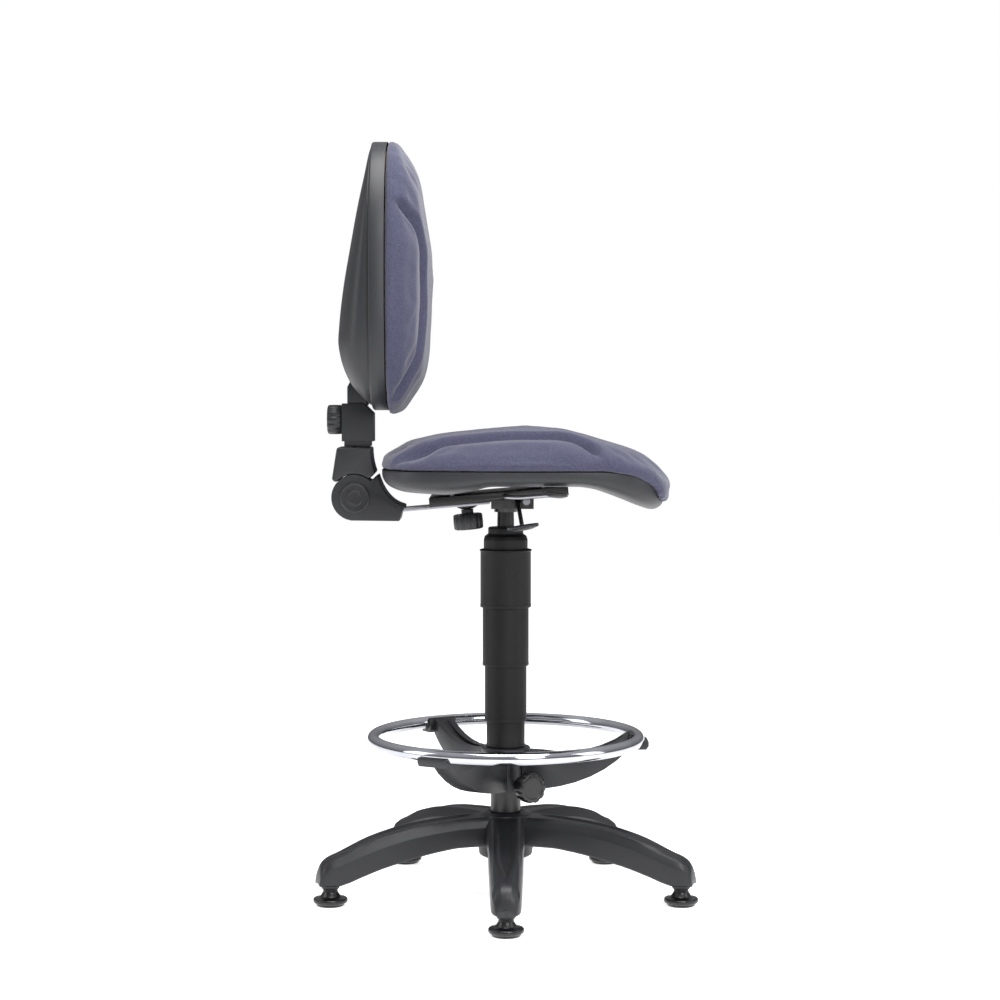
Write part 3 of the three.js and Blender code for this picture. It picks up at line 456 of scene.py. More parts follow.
# Turns copies of a piece's mesh about the world's upright axis, as many as asked for.
def buildTurnedCopies():
    tree = bpy.data.node_groups.new("turnedCopies", "GeometryNodeTree")
    link = tree.links.new
    face = tree.interface
    for label, kind in (("Geometry", "Geometry"), ("Count", "Int"), ("Turn", "Float"),
                        ("Start", "Float"), ("Finish", "Material")):
        face.new_socket(label, in_out="INPUT", socket_type="NodeSocket" + kind)
    face.new_socket("Geometry", in_out="OUTPUT", socket_type="NodeSocketGeometry")
    given, result = tree.nodes.new("NodeGroupInput"), tree.nodes.new("NodeGroupOutput")
    spots, index, copies, real, painted = (tree.nodes.new("GeometryNode" + kind) for kind in (
        "Points", "InputIndex", "InstanceOnPoints", "RealizeInstances", "SetMaterial"))
    turn = tree.nodes.new("ShaderNodeCombineXYZ")
    angle = times(tree, index.outputs[0], given.outputs["Turn"])
    angle = plus(tree, angle, given.outputs["Start"])
    link(given.outputs["Count"], spots.inputs["Count"])
    link(angle, turn.inputs["Z"])
    link(spots.outputs[0], copies.inputs["Points"])
    link(given.outputs["Geometry"], copies.inputs["Instance"])
    link(turn.outputs[0], copies.inputs["Rotation"])
    link(copies.outputs[0], real.inputs[0])
    link(real.outputs[0], painted.inputs[0])
    link(given.outputs["Finish"], painted.inputs["Material"])
    link(painted.outputs[0], result.inputs[0])
    return tree


turnedCopies = buildTurnedCopies()


def turnCopies(piece, count, start=0.0, slotName="gloss_plastic"):
    modifier = piece.modifiers.new("copies", "NODES")
    modifier.node_group = turnedCopies
    values = {"Count": count, "Turn": 2 * math.pi / count, "Start": start, "Finish": finishes[slotName]}
    for item in turnedCopies.interface.items_tree:
        if item.in_out == "INPUT" and item.name in values:
            modifier[item.identifier] = values[item.name]
    return bakeModifiers(piece)


# The plan of a pad: a superellipse whose width changes towards one end.
def padPlan(pad, angle, grow=0.0):
    c, s = math.cos(angle), math.sin(angle)
    power = pad["power"]
    reach = (abs(c) ** power + abs(s) ** power) ** (-1 / power)
    across = (pad["halfWidth"] + grow) * reach * c
    along = (pad["halfLength"] + grow) * reach * s
    share = max(along * pad["taperEnd"] / pad["halfLength"], 0)
    return across * (1 - pad["taper"] * share ** 2), pad["middle"] + along


# A closed crowned form between the seam's surface and the crest, as a fine grid.
def padForm(name, pad, toWorld, rings=44, spokes=144):
    points, faces = [], []
    shrink = pad["shrink"]
    for side in (1, 0):
        start = len(points)
        middle = pad["middle"]
        points.append(toWorld(0, middle, pad["crest"](0, middle) - 3 if side else pad["seam"](middle)))
        for i in range(1, rings + 1 if side else rings):
            turn = math.pi / 2 * i / rings
            spread = math.sin(turn) ** (2 / pad["boxy"]) if side else i / rings
            lift = math.cos(turn) ** (2 / pad["boxy"]) if side else 0
            for angle in allRound(spokes):
                across, along = padPlan(pad, angle, -shrink)
                edge = pad["seam"](along)
                across, along = across * spread, middle + (along - middle) * spread
                low = edge * spread + pad["seam"](along) * (1 - spread) if side else pad["seam"](along)
                out = low + (pad["crest"](across, along) - pad["sink"] - low) * lift
                tuck = pad["tuck"] * max(0, 1 - abs(out - low) / pad["tuckHeight"]) ** 2
                tuck += pad["noseTuck"] * eased(180, 250, along) * max(0, 1 - abs(out - low) / 30) ** 2
                scale = 1 - tuck / pad["halfWidth"]
                points.append(toWorld(across * scale, middle + (along - middle) * scale, out))
        count = rings if side else rings - 1
        for k in range(spokes):
            n = (k + 1) % spokes
            faces.append((start, start + 1 + k, start + 1 + n))
            for i in range(count - 1):
                a = start + 1 + i * spokes
                faces.append((a + k, a + spokes + k, a + spokes + n, a + n))
        if side:
            rim = start + 1 + (rings - 1) * spokes
        else:
            last = start + 1 + (count - 1) * spokes
            faces += [(rim + k, last + k, last + (k + 1) % spokes, rim + (k + 1) % spokes)
                      for k in range(spokes)]
    return solidPiece(name, points, faces)


def remeshed(piece, size):
    remesh = piece.modifiers.new("evenFaces", "REMESH")
    remesh.mode = "VOXEL"
    remesh.voxel_size = size * mm
    return bakeModifiers(piece)


stuffing = {"frames": 20, "mass": 0.4, "stiffness": 18, "bending": 0.6}


# Swells a pad as stuffed cloth, held at its seam, and lets no point move beyond the cap.
def stuffed(piece, pad, held):
    start = [vertex.co.copy() for vertex in piece.data.vertices]
    pins = piece.vertex_groups.new(name="sewnEdge")
    pins.add([i for i, co in enumerate(start) if held(co)], 1.0, "ADD")
    cloth = piece.modifiers.new("stuffing", "CLOTH")
    settings = cloth.settings
    settings.quality = 4
    settings.mass = stuffing["mass"]
    settings.tension_stiffness = settings.compression_stiffness = stuffing["stiffness"]
    settings.bending_stiffness = stuffing["bending"]
    settings.use_pressure = True
    settings.uniform_pressure_force = pad["pressure"]
    settings.vertex_group_mass = "sewnEdge"
    settings.effector_weights.gravity = 0
    cloth.collision_settings.use_collision = False
    cloth.point_cache.frame_end = stuffing["frames"]
    scene = bpy.context.scene
    for step in range(1, stuffing["frames"] + 1):
        scene.frame_set(step)
    bakeModifiers(piece)
    scene.frame_set(1)
    piece.vertex_groups.clear()
    for vertex, co in zip(piece.data.vertices, start):
        moved = vertex.co - co
        if moved.length > pad["cap"] * mm:
            vertex.co = co + moved.normalized() * pad["cap"] * mm
    return piece


def relaxed(piece, factor, rounds):
    ease = piece.modifiers.new("relax", "SMOOTH")
    ease.factor = factor
    ease.iterations = rounds
    return bakeModifiers(piece)


def finerPad(piece):
    finer = piece.modifiers.new("finer", "SUBSURF")
    finer.levels = finer.render_levels = 1
    return bakeModifiers(piece)


sewing = {"grooveWidth": 7, "puff": 1.1, "bottomShare": 0.12, "fadeLength": 30}


# Presses the sewn groove in and lowers the side leaf. The pad gives where its groove runs.
def sewn(piece, pad, toPad, toWorld):
    mesh = piece.data
    normals = [vertex.normal.copy() for vertex in mesh.vertices]
    for vertex, normal in zip(mesh.vertices, normals):
        across, along, out = toPad(vertex.co)
        above = eased(0, pad["leafBase"], out - pad["seam"](along))
        line = through(pad["leaf"], along)
        beyond = abs(across) - line
        end = pad["leaf"][-1][0]
        fade = 1 - eased(end - sewing["fadeLength"], end + 6, along)
        drop = pad["leafDrop"] * eased(-7, 8, beyond) * above * fade
        high = eased(pad["leafBase"] - 12, pad["leafBase"] + 8, out - pad["seam"](along))
        low = sewing["bottomShare"]
        groove = pad["groove"] * math.exp(-((beyond - 3) / sewing["grooveWidth"]) ** 2)
        groove *= low + (1 - low) * high
        puff = noise.noise(vertex.co * 14) + 0.6 * noise.noise(vertex.co * 31)
        puff *= sewing["puff"] * above
        vertex.co = toWorld(across, along, out - drop) + normal * (puff - groove * fade) * mm
    for polygon in mesh.polygons:
        polygon.use_smooth = True
    mesh.update()


def makePad(name, pad, toWorld, toPad, held):
    piece = padForm(name, pad, toWorld)
    remeshed(piece, 6)
    stuffed(piece, pad, held)
    relaxed(piece, 0.5, 5)
    finerPad(piece)
    sewn(piece, pad, toPad, toWorld)
    return piece


seatPad = {
    "halfWidth": 235, "halfLength": 236, "middle": 33, "power": 4.2, "taper": 0.05, "taperEnd": -1,
    "boxy": 8, "shrink": -4, "sink": 8, "tuck": 5, "tuckHeight": 16, "noseTuck": 8, "cap": 7, "pressure": 4,
    "groove": 9, "leafDrop": 13, "leafBase": 34,
    "leaf": [(-205, 176), (-150, 172), (-90, 163), (-30, 153), (20, 151), (70, 159), (105, 176),
             (135, 203), (160, 236)],
}
seatCrest = [(-203, 750), (-187, 752), (-140, 760), (-107, 766), (-68, 770), (-18, 774), (31, 776),
             (74, 776), (100, 773.5), (120, 768), (150, 759), (197, 745), (230, 733), (265, 718)]
seatSeam = [(-300, 710), (150, 710), (178, 707.5), (205, 702), (228, 692), (246, 681), (257, 661), (266, 656)]
seatPad["crest"] = lambda across, along: through(seatCrest, along) - 5 * (across / seatPad["halfWidth"]) ** 2
seatPad["seam"] = lambda along: through(seatSeam, along)


def seatWorld(across, along, out):
    return place(across, along, out)


def seatSpot(co):
    return (co.x - columnX) / mm, -co.y / mm, co.z / mm


seatCushion = makePad(
    "seatPadding", seatPad, seatWorld, seatSpot,
    lambda co: seatSpot(co)[2] < seatPad["seam"](seatSpot(co)[1]) + 5)
finished(seatCushion, "seat", "fabric", "seat_cushion")
print("seat cushion:", len(seatCushion.data.vertices), "points")

backPad = {
    "halfWidth": 206, "halfLength": 224, "middle": 1018.5, "power": 3.4, "taper": 0.12, "taperEnd": 1,
    "boxy": 7.5, "shrink": -2, "sink": 8, "tuck": 4, "tuckHeight": 14, "noseTuck": 0, "cap": 7, "pressure": 4,
    "groove": 9, "leafDrop": 11, "leafBase": 30,
    "leaf": [(800, 152), (840, 143), (880, 133), (930, 122), (980, 118), (1030, 124), (1080, 143),
             (1115, 168), (1150, 198)],
}
backCrest = [(799, -152), (833, -139), (862, -131), (895, -127), (945, -124), (989, -122.5), (1060, -122.5),
             (1090, -126), (1136, -133), (1175, -138), (1205, -145), (1242, -158)]
backPad["crest"] = lambda across, along: through(backCrest, along) - 4 * (across / backPad["halfWidth"]) ** 2
backPad["seam"] = lambda along: -190


def backWorld(across, along, out):
    return place(across, out, along)


def backSpot(co):
    return (co.x - columnX) / mm, co.z / mm, -co.y / mm


backCushion = makePad("backPadding", backPad, backWorld, backSpot, lambda co: backSpot(co)[2] < -186)
finished(backCushion, "backrest", "fabric", "back_cushion")
print("back cushion:", len(backCushion.data.vertices), "points")


def span(node, axis=2):
    low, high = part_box(node)
    return low[axis] / mm, high[axis] / mm


def joined(name, pieces):
    shape = bmesh.new()
    for piece in pieces:
        shape.from_mesh(piece.data)
        bpy.data.objects.remove(piece)
    mesh = bpy.data.meshes.new(name)
    shape.to_mesh(mesh)
    shape.free()
    return newObject(name, mesh)


# Telescopic covers: thin sleeves with a raised lip at the foot and a rim on the top one.
sleeves = {
    "wall": 2.4, "lip": 5, "step": 0.35,
    "bodies": {"sleeve_bottom": "ring", "sleeve_lower_mid": "lower_sleeve",
               "sleeve_upper_mid": "upper_sleeve", "sleeve_top": "lift"},
}
for node, body in sleeves["bodies"].items():
    low, high = span(node)
    radius = (span(node, 0)[1] - span(node, 0)[0]) / 2
    bore = radius - sleeves["wall"]
    side = radius - (1 if node == "sleeve_top" else 0)
    corners = [(bore, low, 0.4), (side, low, 0.9), (side, low + sleeves["lip"], 0.2),
               (side - sleeves["step"], low + sleeves["lip"] + 0.4, 0.2)]
    if node == "sleeve_top":
        corners += [(side - sleeves["step"], high - 3.4, 0.3), (radius, high - 2.4, 0.5),
                    (radius, high, 0.8)]
    else:
        corners += [(side - sleeves["step"], high, 0.8)]
    corners += [(bore, high, 0.6)]
    finished(turned(node + "_turned", corners, closed=True), body, "black_plastic", node,
             material=sleeveFinish)

capLow, capHigh = span("sleeve_cap")
cap = {"bore": 14.8, "neck": 29, "body": 36.5, "shoulder": 21}
finished(turned("columnCap", [
    (cap["bore"], capHigh, 1), (cap["neck"], capHigh, 3), (cap["neck"], capHigh - 11, 2.5),
    (cap["body"] - 2, capHigh - 15, 3), (cap["body"], capHigh - cap["shoulder"], 3),
    (cap["body"], capHigh - 36, 0.6), (cap["body"] - 0.8, capHigh - 37, 0.3),
    (cap["body"] - 0.8, capLow, 0.5), (cap["body"] - 4, capLow, 0.5), (cap["body"] - 4, capHigh - 20, 3),
    (cap["bore"], capHigh - 12, 1)], closed=True),
    "lift", "gloss_plastic", "sleeve_cap", material=sleeveFinish)

tube = {"outer": 25, "inner": 23, "rodHole": 5.4, "floor": 2}
tubeLow, tubeHigh = span("column_tube")
tubeFloor = tubeLow + tube["floor"]
finished(turned("columnTube", [
    (tube["rodHole"], tubeLow, 0.3), (tube["outer"], tubeLow, 1.5), (tube["outer"], tubeHigh, 0.6),
    (tube["inner"], tubeHigh, 0.4), (tube["inner"], tubeFloor, 1), (tube["rodHole"], tubeFloor, 0.3)],
    closed=True), "base", "black_steel", "column_tube")

gas = {"outer": 14, "head": 13.1, "taper": 36, "pin": 4.5, "pocket": 14, "rod": 5.5, "bore": 225}
gasLow, gasHigh = span("gas_cylinder")
pocketLow, boreHigh = gasHigh - gas["pocket"], gasLow + gas["bore"]
finished(turned("gasCylinder", [
    (gas["rod"], gasLow, 0.3), (gas["outer"], gasLow, 1), (gas["outer"], gasHigh - gas["taper"], 1),
    (gas["head"], gasHigh, 0.8), (gas["pin"], gasHigh, 0.3), (gas["pin"], pocketLow, 0.3),
    (0, pocketLow, 0), (0, boreHigh, 0), (gas["rod"], boreHigh, 0.3)]),
    "swivel", "black_steel", "gas_cylinder")

# Foot ring: one closed tube round the column.
footRing = {"radius": 220, "tube": 10.5}
ringLow, ringHigh = span("foot_ring")
ringMiddle = (ringLow + ringHigh) / 2
ringSection = [(footRing["radius"] + footRing["tube"] * math.cos(angle),
                ringMiddle + footRing["tube"] * math.sin(angle), 0) for angle in allRound(32)]
finished(turned("footRing", ringSection, closed=True, segments=256), "ring", "chrome", "foot_ring")

# Glides: a dished foot with a rounded bead and a flared neck, five about the column.
glide = {"count": 5, "reach": 300, "rim": 28, "sole": 22, "neck": 11}
glideLow, glideHigh = span("glide_1")
glidePiece = turned("glideFeet", [
    (0, glideLow, 0), (glide["sole"], glideLow, 1.5), (glide["sole"] + 1.5, glideLow + 3.6, 2),
    (glide["rim"], glideLow + 6, 3), (glide["rim"], glideLow + 12.5, 3.4),
    (glide["rim"] - 7, glideLow + 13.4, 4), (glide["neck"] + 6, glideLow + 15, 5),
    (glide["neck"] + 1.5, glideLow + 22, 7), (glide["neck"], glideHigh, 1.2),
    (0, glideHigh, 0)], Matrix.Translation((glide["reach"] * mm, 0, 0)), segments=64)
turnCopies(glidePiece, glide["count"], math.pi)
glidePiece.data.transform(Matrix.Translation(place(0, 0, 0)))
finished(glidePiece, "base", "gloss_plastic", *["glide_%d" % (k + 1) for k in range(glide["count"])])


# A knob with soft flutes round its drum, a face recess and its stud.
def knob(name, size, matrix):
    points, faces = [], []
    levels = [(0, 3.2), (0.8, 1.2), (2.4, 0), (size["depth"] * 0.5, -0.4), (size["depth"] - 2.6, 0),
              (size["depth"] - 0.9, 1.2), (size["depth"], 3.4)]
    spokes = size["flutes"] * 10
    for z, inset in levels:
        for angle in allRound(spokes):
            wave = math.cos(angle * size["flutes"])
            flute = size["flute"] * max(0, -wave) ** 0.7
            r = size["radius"] - inset - flute * (1 if inset < 2 else 0.6)
            points.append(Vector((r * math.cos(angle), r * math.sin(angle), z)) * mm)
    top = len(levels) - 1
    for r, z in ((size["radius"] - 7, size["depth"]), (size["radius"] - 8, size["depth"] - 1.2),
                 (4, size["depth"] - 1.2)):
        points += [Vector((r * math.cos(a), r * math.sin(a), z)) * mm for a in allRound(spokes)]
        top += 1
    for level in range(top):
        faces += band(level * spokes, (level + 1) * spokes, spokes)
    faces.append(tuple(range(spokes)))
    faces.append(tuple(top * spokes + k for k in range(spokes)))
    parts = [solidPiece(name, points, faces, 42, matrix)]
    for radius, start, end in size["shafts"]:
        stud = [(0, start, 0), (radius, start, 0.6), (radius, end, 0.6), (0, end, 0)]
        parts.append(turned(name + "Shaft", stud, matrix, segments=40))
    return joined(name + "Whole", parts)


def facing(spot, direction):
    return Matrix.Translation(spot) @ direction.to_track_quat("Z", "Y").to_matrix().to_4x4()


clampKnobs = {
    "back": {"radius": 24, "depth": 24.4, "flutes": 12, "flute": 1.6, "shafts": [(4, -16, 1)]},
    "ring": {"radius": 24.5, "depth": 24.4, "flutes": 10, "flute": 1.6, "shafts": [(4, -34, 1)]},
    "depth": {"radius": 24, "depth": 26, "flutes": 12, "flute": 1.6,
              "shafts": [(10, -7.5, 1), (4, -31, 1)]},
}
ringKnobAt = {"turn": 210, "height": 188, "reach": 66.4}
depthKnobAt = {"slope": 5, "behind": 66, "height": 672.5, "below": 34}
finished(knob("backKnob", clampKnobs["back"], facing(place(0, -269.4, 788.5), Vector((0, 1, 0)))),
         "back_clamp", "black_plastic", "back_knob")
ringTurn = math.radians(ringKnobAt["turn"])
outward = Vector((math.cos(ringTurn), math.sin(ringTurn), 0))
ringSpot = place(0, 0, ringKnobAt["height"]) + outward * ringKnobAt["reach"] * mm
finished(knob("ringKnob", clampKnobs["ring"], facing(ringSpot, outward)),
         "ring_knob", "gloss_plastic", "ring_clamp_knob")
slope = math.radians(depthKnobAt["slope"])
down = Vector((0, -math.sin(slope), -math.cos(slope)))
behind = depthKnobAt["behind"] * mm
depthTop = Vector((columnX, behind, depthKnobAt["height"] * mm)) - Vector((0, 0, behind * math.sin(slope)))
finished(knob("depthKnob", clampKnobs["depth"], facing(depthTop + down * depthKnobAt["below"] * mm, down)),
         "depth_clamp", "black_plastic", "depth_knob")
print("column, ring and knobs made")


# The back shell: a flat rim band round the cushion and a hump behind it, open below for the slider.
backShell = {
    "rim": -190.4, "band": 25, "wall": 3.6, "step": 5, "edge": 3, "boxy": 3.2,
    "mouthHalf": 29, "mouthTop": 851,
    "hump": [(799, -216), (805, -224), (821, -241), (833, -253), (846, -262), (870, -270), (890, -273.5),
             (912, -275), (936, -272.5), (1002, -264), (1068, -252.5), (1134, -241), (1184, -231),
             (1225, -223), (1242, -217)],
}


def shellLoft(name, rows, toWorld, spokes):
    points = [toWorld(*spot) for row in rows for spot in row]
    faces = []
    for i in range(len(rows) - 1):
        faces += band(i * spokes, (i + 1) * spokes, spokes)
    last = (len(rows) - 1) * spokes
    points.append(sum((points[last + k] for k in range(spokes)), Vector()) / spokes)
    faces += [(last + k, last + (k + 1) % spokes, len(points) - 1) for k in range(spokes)]
    return newObject(name, newMesh(name, points, faces))


def cutMouth(piece, planes, inside):
    shape = bmesh.new()
    shape.from_mesh(piece.data)
    for spot, normal in planes:
        bmesh.ops.bisect_plane(
            shape, geom=shape.verts[:] + shape.edges[:] + shape.faces[:], plane_co=spot, plane_no=normal)
    gone = [face for face in shape.faces if inside(face.calc_center_median())]
    bmesh.ops.delete(shape, geom=gone, context="FACES")
    bmesh.ops.recalc_face_normals(shape, faces=shape.faces)
    shape.to_mesh(piece.data)
    shape.free()


def thickened(piece, wall, bevel):
    solid = piece.modifiers.new("wall", "SOLIDIFY")
    solid.thickness = wall * mm
    solid.offset = -1
    solid.use_even_offset = True
    solid.thickness_clamp = 1
    addBevel(piece, bevel, 2, 50)
    bakeModifiers(piece)
    smooth(piece.data, 50)
    return piece


def makeBackShell(shell, pad, spokes=160):
    rows = []
    turns = allRound(spokes)

    def ring(inset, out):
        return [(*padPlan(pad, angle, -inset), out) for angle in turns]

    rear = shell["rim"] - shell["band"]
    rows.append(ring(0.6, shell["rim"]))
    rows.append(ring(0, shell["rim"] - 1))
    rows.append(ring(0, rear + shell["edge"]))
    for k in range(1, 4):
        turn = math.pi / 2 * k / 3
        rows.append(ring(shell["edge"] * (1 - math.cos(turn)), rear + shell["edge"] * (1 - math.sin(turn))))
    rows.append(ring(shell["edge"] + shell["step"], rear))
    inset = shell["edge"] + shell["step"]
    for i in range(1, 30):
        turn = math.pi / 2 * i / 30
        row = []
        for angle in turns:
            across, along = padPlan(pad, angle, -inset)
            spread = math.cos(turn) ** (2 / shell["boxy"])
            along = pad["middle"] + (along - pad["middle"]) * spread
            across *= spread
            lift = math.sin(turn) ** (2 / shell["boxy"])
            hump = through(shell["hump"], along) + 9 * (across / backPad["halfWidth"]) ** 2
            row.append((across, along, rear + (min(hump, rear) - rear) * lift))
        rows.append(row)
    piece = shellLoft("backShellSkin", rows, backWorld, spokes)
    half, top = shell["mouthHalf"], shell["mouthTop"]
    cutMouth(piece, [(place(-half, 0, 0), (1, 0, 0)), (place(half, 0, 0), (1, 0, 0)),
                     (place(0, 0, top), (0, 0, 1)), (place(0, rear - 1, 0), (0, 1, 0))],
             lambda co: abs(backSpot(co)[0]) < half and backSpot(co)[1] < top and backSpot(co)[2] < rear - 1)
    return thickened(piece, shell["wall"], 0.7)


shellPlan = dict(backPad, halfWidth=204, halfLength=217.5, middle=1021.5)
finished(makeBackShell(backShell, shellPlan), "backrest", "grey_plastic", "back_shell")

# The seat pan: a thin moulded tray under the cushion, deeper at the rear and under the nose.
seatPan = {
    "wall": 3.4, "boxy": 4.5, "lip": 1.2,
    "floor": [(-203, 697), (-196, 680), (-186, 673), (-158, 669), (-100, 669), (-60, 674), (-20, 683),
              (110, 683), (135, 680), (160, 672), (190, 659.5), (215, 648), (240, 638.5), (252, 641),
              (266, 652)],
}


def makeSeatPan(tray, pad, spokes=176):
    turns = allRound(spokes)
    rows = []
    for inset, drop in ((tray["lip"], 0.2), (0.2, 1.0), (0, 3.5)):
        rows.append([(*padPlan(pad, angle, -inset), pad["seam"](padPlan(pad, angle)[1]) - drop)
                     for angle in turns])
    for i in range(1, 30):
        turn = math.pi / 2 * i / 30
        row = []
        for angle in turns:
            across, along = padPlan(pad, angle)
            edge = pad["seam"](along) - 3.5
            spread = math.cos(turn) ** (2 / tray["boxy"])
            across, along = across * spread, pad["middle"] + (along - pad["middle"]) * spread
            low = through(tray["floor"], along)
            lift = math.sin(turn) ** (2 / tray["boxy"])
            row.append((across, along, min(edge + (low - edge) * lift, pad["seam"](along) - 6)))
        rows.append(row)
    return thickened(shellLoft("seatPanSkin", rows, seatWorld, spokes), tray["wall"], 0.5)


panPlan = dict(seatPad, halfWidth=232, halfLength=227.5, middle=26.5)
finished(makeSeatPan(seatPan, panPlan), "seat", "grey_plastic", "seat_pan")
print("shells made")


# Plywood boards that carry the padding, cut just inside the shells.
boards = {"inset": 15, "seatTop": 3, "seatThick": 9, "backTop": -191.4, "backThick": 8.6}


def makeBoard(name, pad, toWorld, top, thickness, spokes=120):
    edge = [padPlan(pad, angle, -boards["inset"]) for angle in allRound(spokes)]
    points, faces = [], []
    steps = 12
    shares = [1 - i / steps for i in range(1, steps)]
    for grow, share in [(0, 1), (1, 1)] + [(grow, share) for grow in (0, 1) for share in shares]:
        for across, along in edge:
            along = pad["middle"] + (along - pad["middle"]) * share
            points.append(toWorld(across * share, along, top(along) - grow * thickness))
    bottomStart = 2 * spokes + (steps - 1) * spokes
    for k in range(spokes):
        n = (k + 1) % spokes
        faces.append((k, n, spokes + n, spokes + k))
        for grow, edge, inner in ((0, 0, 2 * spokes), (1, spokes, bottomStart)):
            faces.append((edge + k, edge + n, inner + n, inner + k))
            for i in range(steps - 2):
                a = inner + i * spokes
                faces.append((a + k, a + n, a + spokes + n, a + spokes + k))
    for inner in (2 * spokes, bottomStart):
        last = inner + (steps - 2) * spokes
        faces.append(tuple(last + k for k in range(spokes)))
    return solidPiece(name, points, faces, 40)


seatBoard = makeBoard(
    "seatBoard", panPlan, seatWorld,
    lambda along: panPlan["seam"](min(along, 236)) - boards["seatTop"], boards["seatThick"])
finished(seatBoard, "seat", "plywood", "seat_board")
backBoard = makeBoard(
    "backBoard", shellPlan, backWorld, lambda along: boards["backTop"], boards["backThick"])
finished(backBoard, "backrest", "plywood", "back_board")

# The star base: five arched legs round a hub, each with two ridges, a hollow between them and a lens end.
leg = {
    "top": [(30, 133), (70, 132.5), (114, 129), (150, 125), (182, 119.5), (210, 112.5), (233, 105.5),
            (260, 95.5), (284, 86), (300, 80), (311, 73), (318, 62), (321, 50), (321.5, 44)],
    "under": [(30, 86), (88, 85), (120, 81), (148, 76), (182, 68), (216, 59), (250, 47.5), (280, 36.5),
              (292, 34), (321.5, 34)],
    "half": [(30, 33), (60, 30.5), (90, 29), (150, 27.5), (220, 25.5), (290, 23), (306, 22), (316, 19),
             (321.5, 15.5)],
    "ridge": 0.62, "hollow": 3.2, "crown": 5.5, "flatFrom": 262, "flatTo": 296, "end": 321.5,
}


starHub = [(25.4, 62, 0.6), (36, 62, 2), (44, 66, 6), (47, 92, 6), (47, 124, 3), (42, 134, 2),
           (34, 137.5, 1.2), (30, 137.5, 0.8), (29, 135.6, 0.6), (25.4, 135.6, 0.6)]


def legSection(r):
    top, under, half = through(leg["top"], r), through(leg["under"], r), through(leg["half"], r)
    fade = 1 - eased(leg["flatFrom"], leg["flatTo"], r)
    hollow = leg["hollow"] * fade * eased(46, 70, r)
    ridge = half * (leg["ridge"] - 0.42 * eased(225, 296, r))
    height = top - under
    corners = [
        (0, top - hollow, 0), (ridge - 7, top - hollow, 2.5), (ridge - 1.5, top - 0.2, 1.6),
        (ridge + 4, top - 0.6, 2),
        (half - 4.5, top - leg["crown"] * min(1, height / 30), 4), (half, top - 0.34 * height, 5),
        (half + 0.8, under + 3, 1.5), (half - 1.6, under, 1), (half - 5, under + 1, 1), (0, under + 3, 0)]
    line = rounded(corners, closed=False, steps=3)
    return [(point.x, point.y) for point in line]


def makeLegs():
    reaches = [30 + 6 * k for k in range(42)]
    reaches = sorted(reaches + [281, 286, 291, 296, 301, 305, 309, 312, 315, 317.5, 319.5, leg["end"]])
    points, faces = [], []
    for r in reaches:
        right = legSection(r)
        left = [(-x, z) for x, z in right[-2:0:-1]]
        points += [Vector((r, x, z)) * mm for x, z in right + left]
        count = len(right) + len(left)
    for i in range(len(reaches) - 1):
        faces += band(i * count, (i + 1) * count, count)
    faces += [tuple(range(count)), tuple((len(reaches) - 1) * count + k for k in range(count))]
    legs = bevelled(solidPiece("oneLeg", points, faces, 32), 0.8, 2, 48)
    cup = [(6, 27.5, 0.4), (14, 27.5, 1.2), (15.5, 31, 1.5), (16.5, 36, 1), (6, 36, 0.4)]
    socket = turned("legSocket", cup, Matrix.Translation((glide["reach"] * mm, 0, 0)), closed=True,
                    segments=48)
    legs = joined("starLegs", [legs, socket])
    turnCopies(legs, glide["count"], math.pi, "black_plastic")
    legs.data.transform(Matrix.Translation(place(0, 0, 0)))
    return joined("starBase", [legs, turned("starHub", starHub, closed=True)])


finished(makeLegs(), "base", "black_plastic", "star_base")
print("star base made")

# Small frame pieces keep the frame's shape with softened edges.
softened = {
    "ring_hub": ("ring", 1.6), "ring_clip_1": ("ring", 1.2), "ring_clip_2": ("ring", 1.2),
    "ring_clip_3": ("ring", 1.2), "mechanism_housing": ("swivel", 0.8), "seat_plate": ("seat", 0.8),
    "depth_bar": ("back_arm", 0.6), "upright_bar": ("upright", 0.7),
    "depth_washer": ("depth_clamp", 0.5),
    "height_lever": ("height_control", 0), "tilt_lever": ("tilt_control", 0),
}
slots = {subpart["node"]: subpart["material_slot"] for subpart in frame["record"]["subparts"]}
for node, (body, width) in softened.items():
    fromNode(node, body, slots[node], width, 40, 3)

fromNode("back_slider", "backrest", "black_plastic", 1.8, 40, 4)
collarLine = [(-260, 811), (-227, 811), (-227, 846), (-233, 850), (-256, 850), (-260, 842)]
collar = bevelled(sideSlab("sliderCollar", collarLine, 50), 2.2, 3)
finished(collar, "backrest", "black_plastic")


# Finger blades on the levers: thin dished ovals.
def makeBlade(name, middle, length, width, tilt, dish, spokes=72):
    points, faces = [], []
    rows = [(1.0, -1), (0.98, 0), (1.0, 1), (0.86, 1), (0.6, 1), (0.3, 1), (0.86, -1), (0.6, -1), (0.3, -1)]
    order = [5, 4, 3, 2, 1, 0, 6, 7, 8]
    turn = Matrix.Rotation(math.radians(tilt), 4, "X")
    for share, side in rows:
        for angle in allRound(spokes):
            c, n = math.cos(angle), math.sin(angle)
            reach = (abs(c) ** 3 + abs(n) ** 3) ** (-1 / 3)
            rise = dish * share ** 2 + side * (1.6 + 2.2 * (1 - share ** 4))
            spot = Vector((width / 2 * c * reach * share, -length / 2 * n * reach * share, rise)) * mm
            points.append(turn @ spot + middle)
    for a, b in zip(order, order[1:]):
        faces += band(a * spokes, b * spokes, spokes)
    faces += [tuple(5 * spokes + k for k in range(spokes)), tuple(8 * spokes + k for k in range(spokes))]
    return solidPiece(name, points, faces, 60)


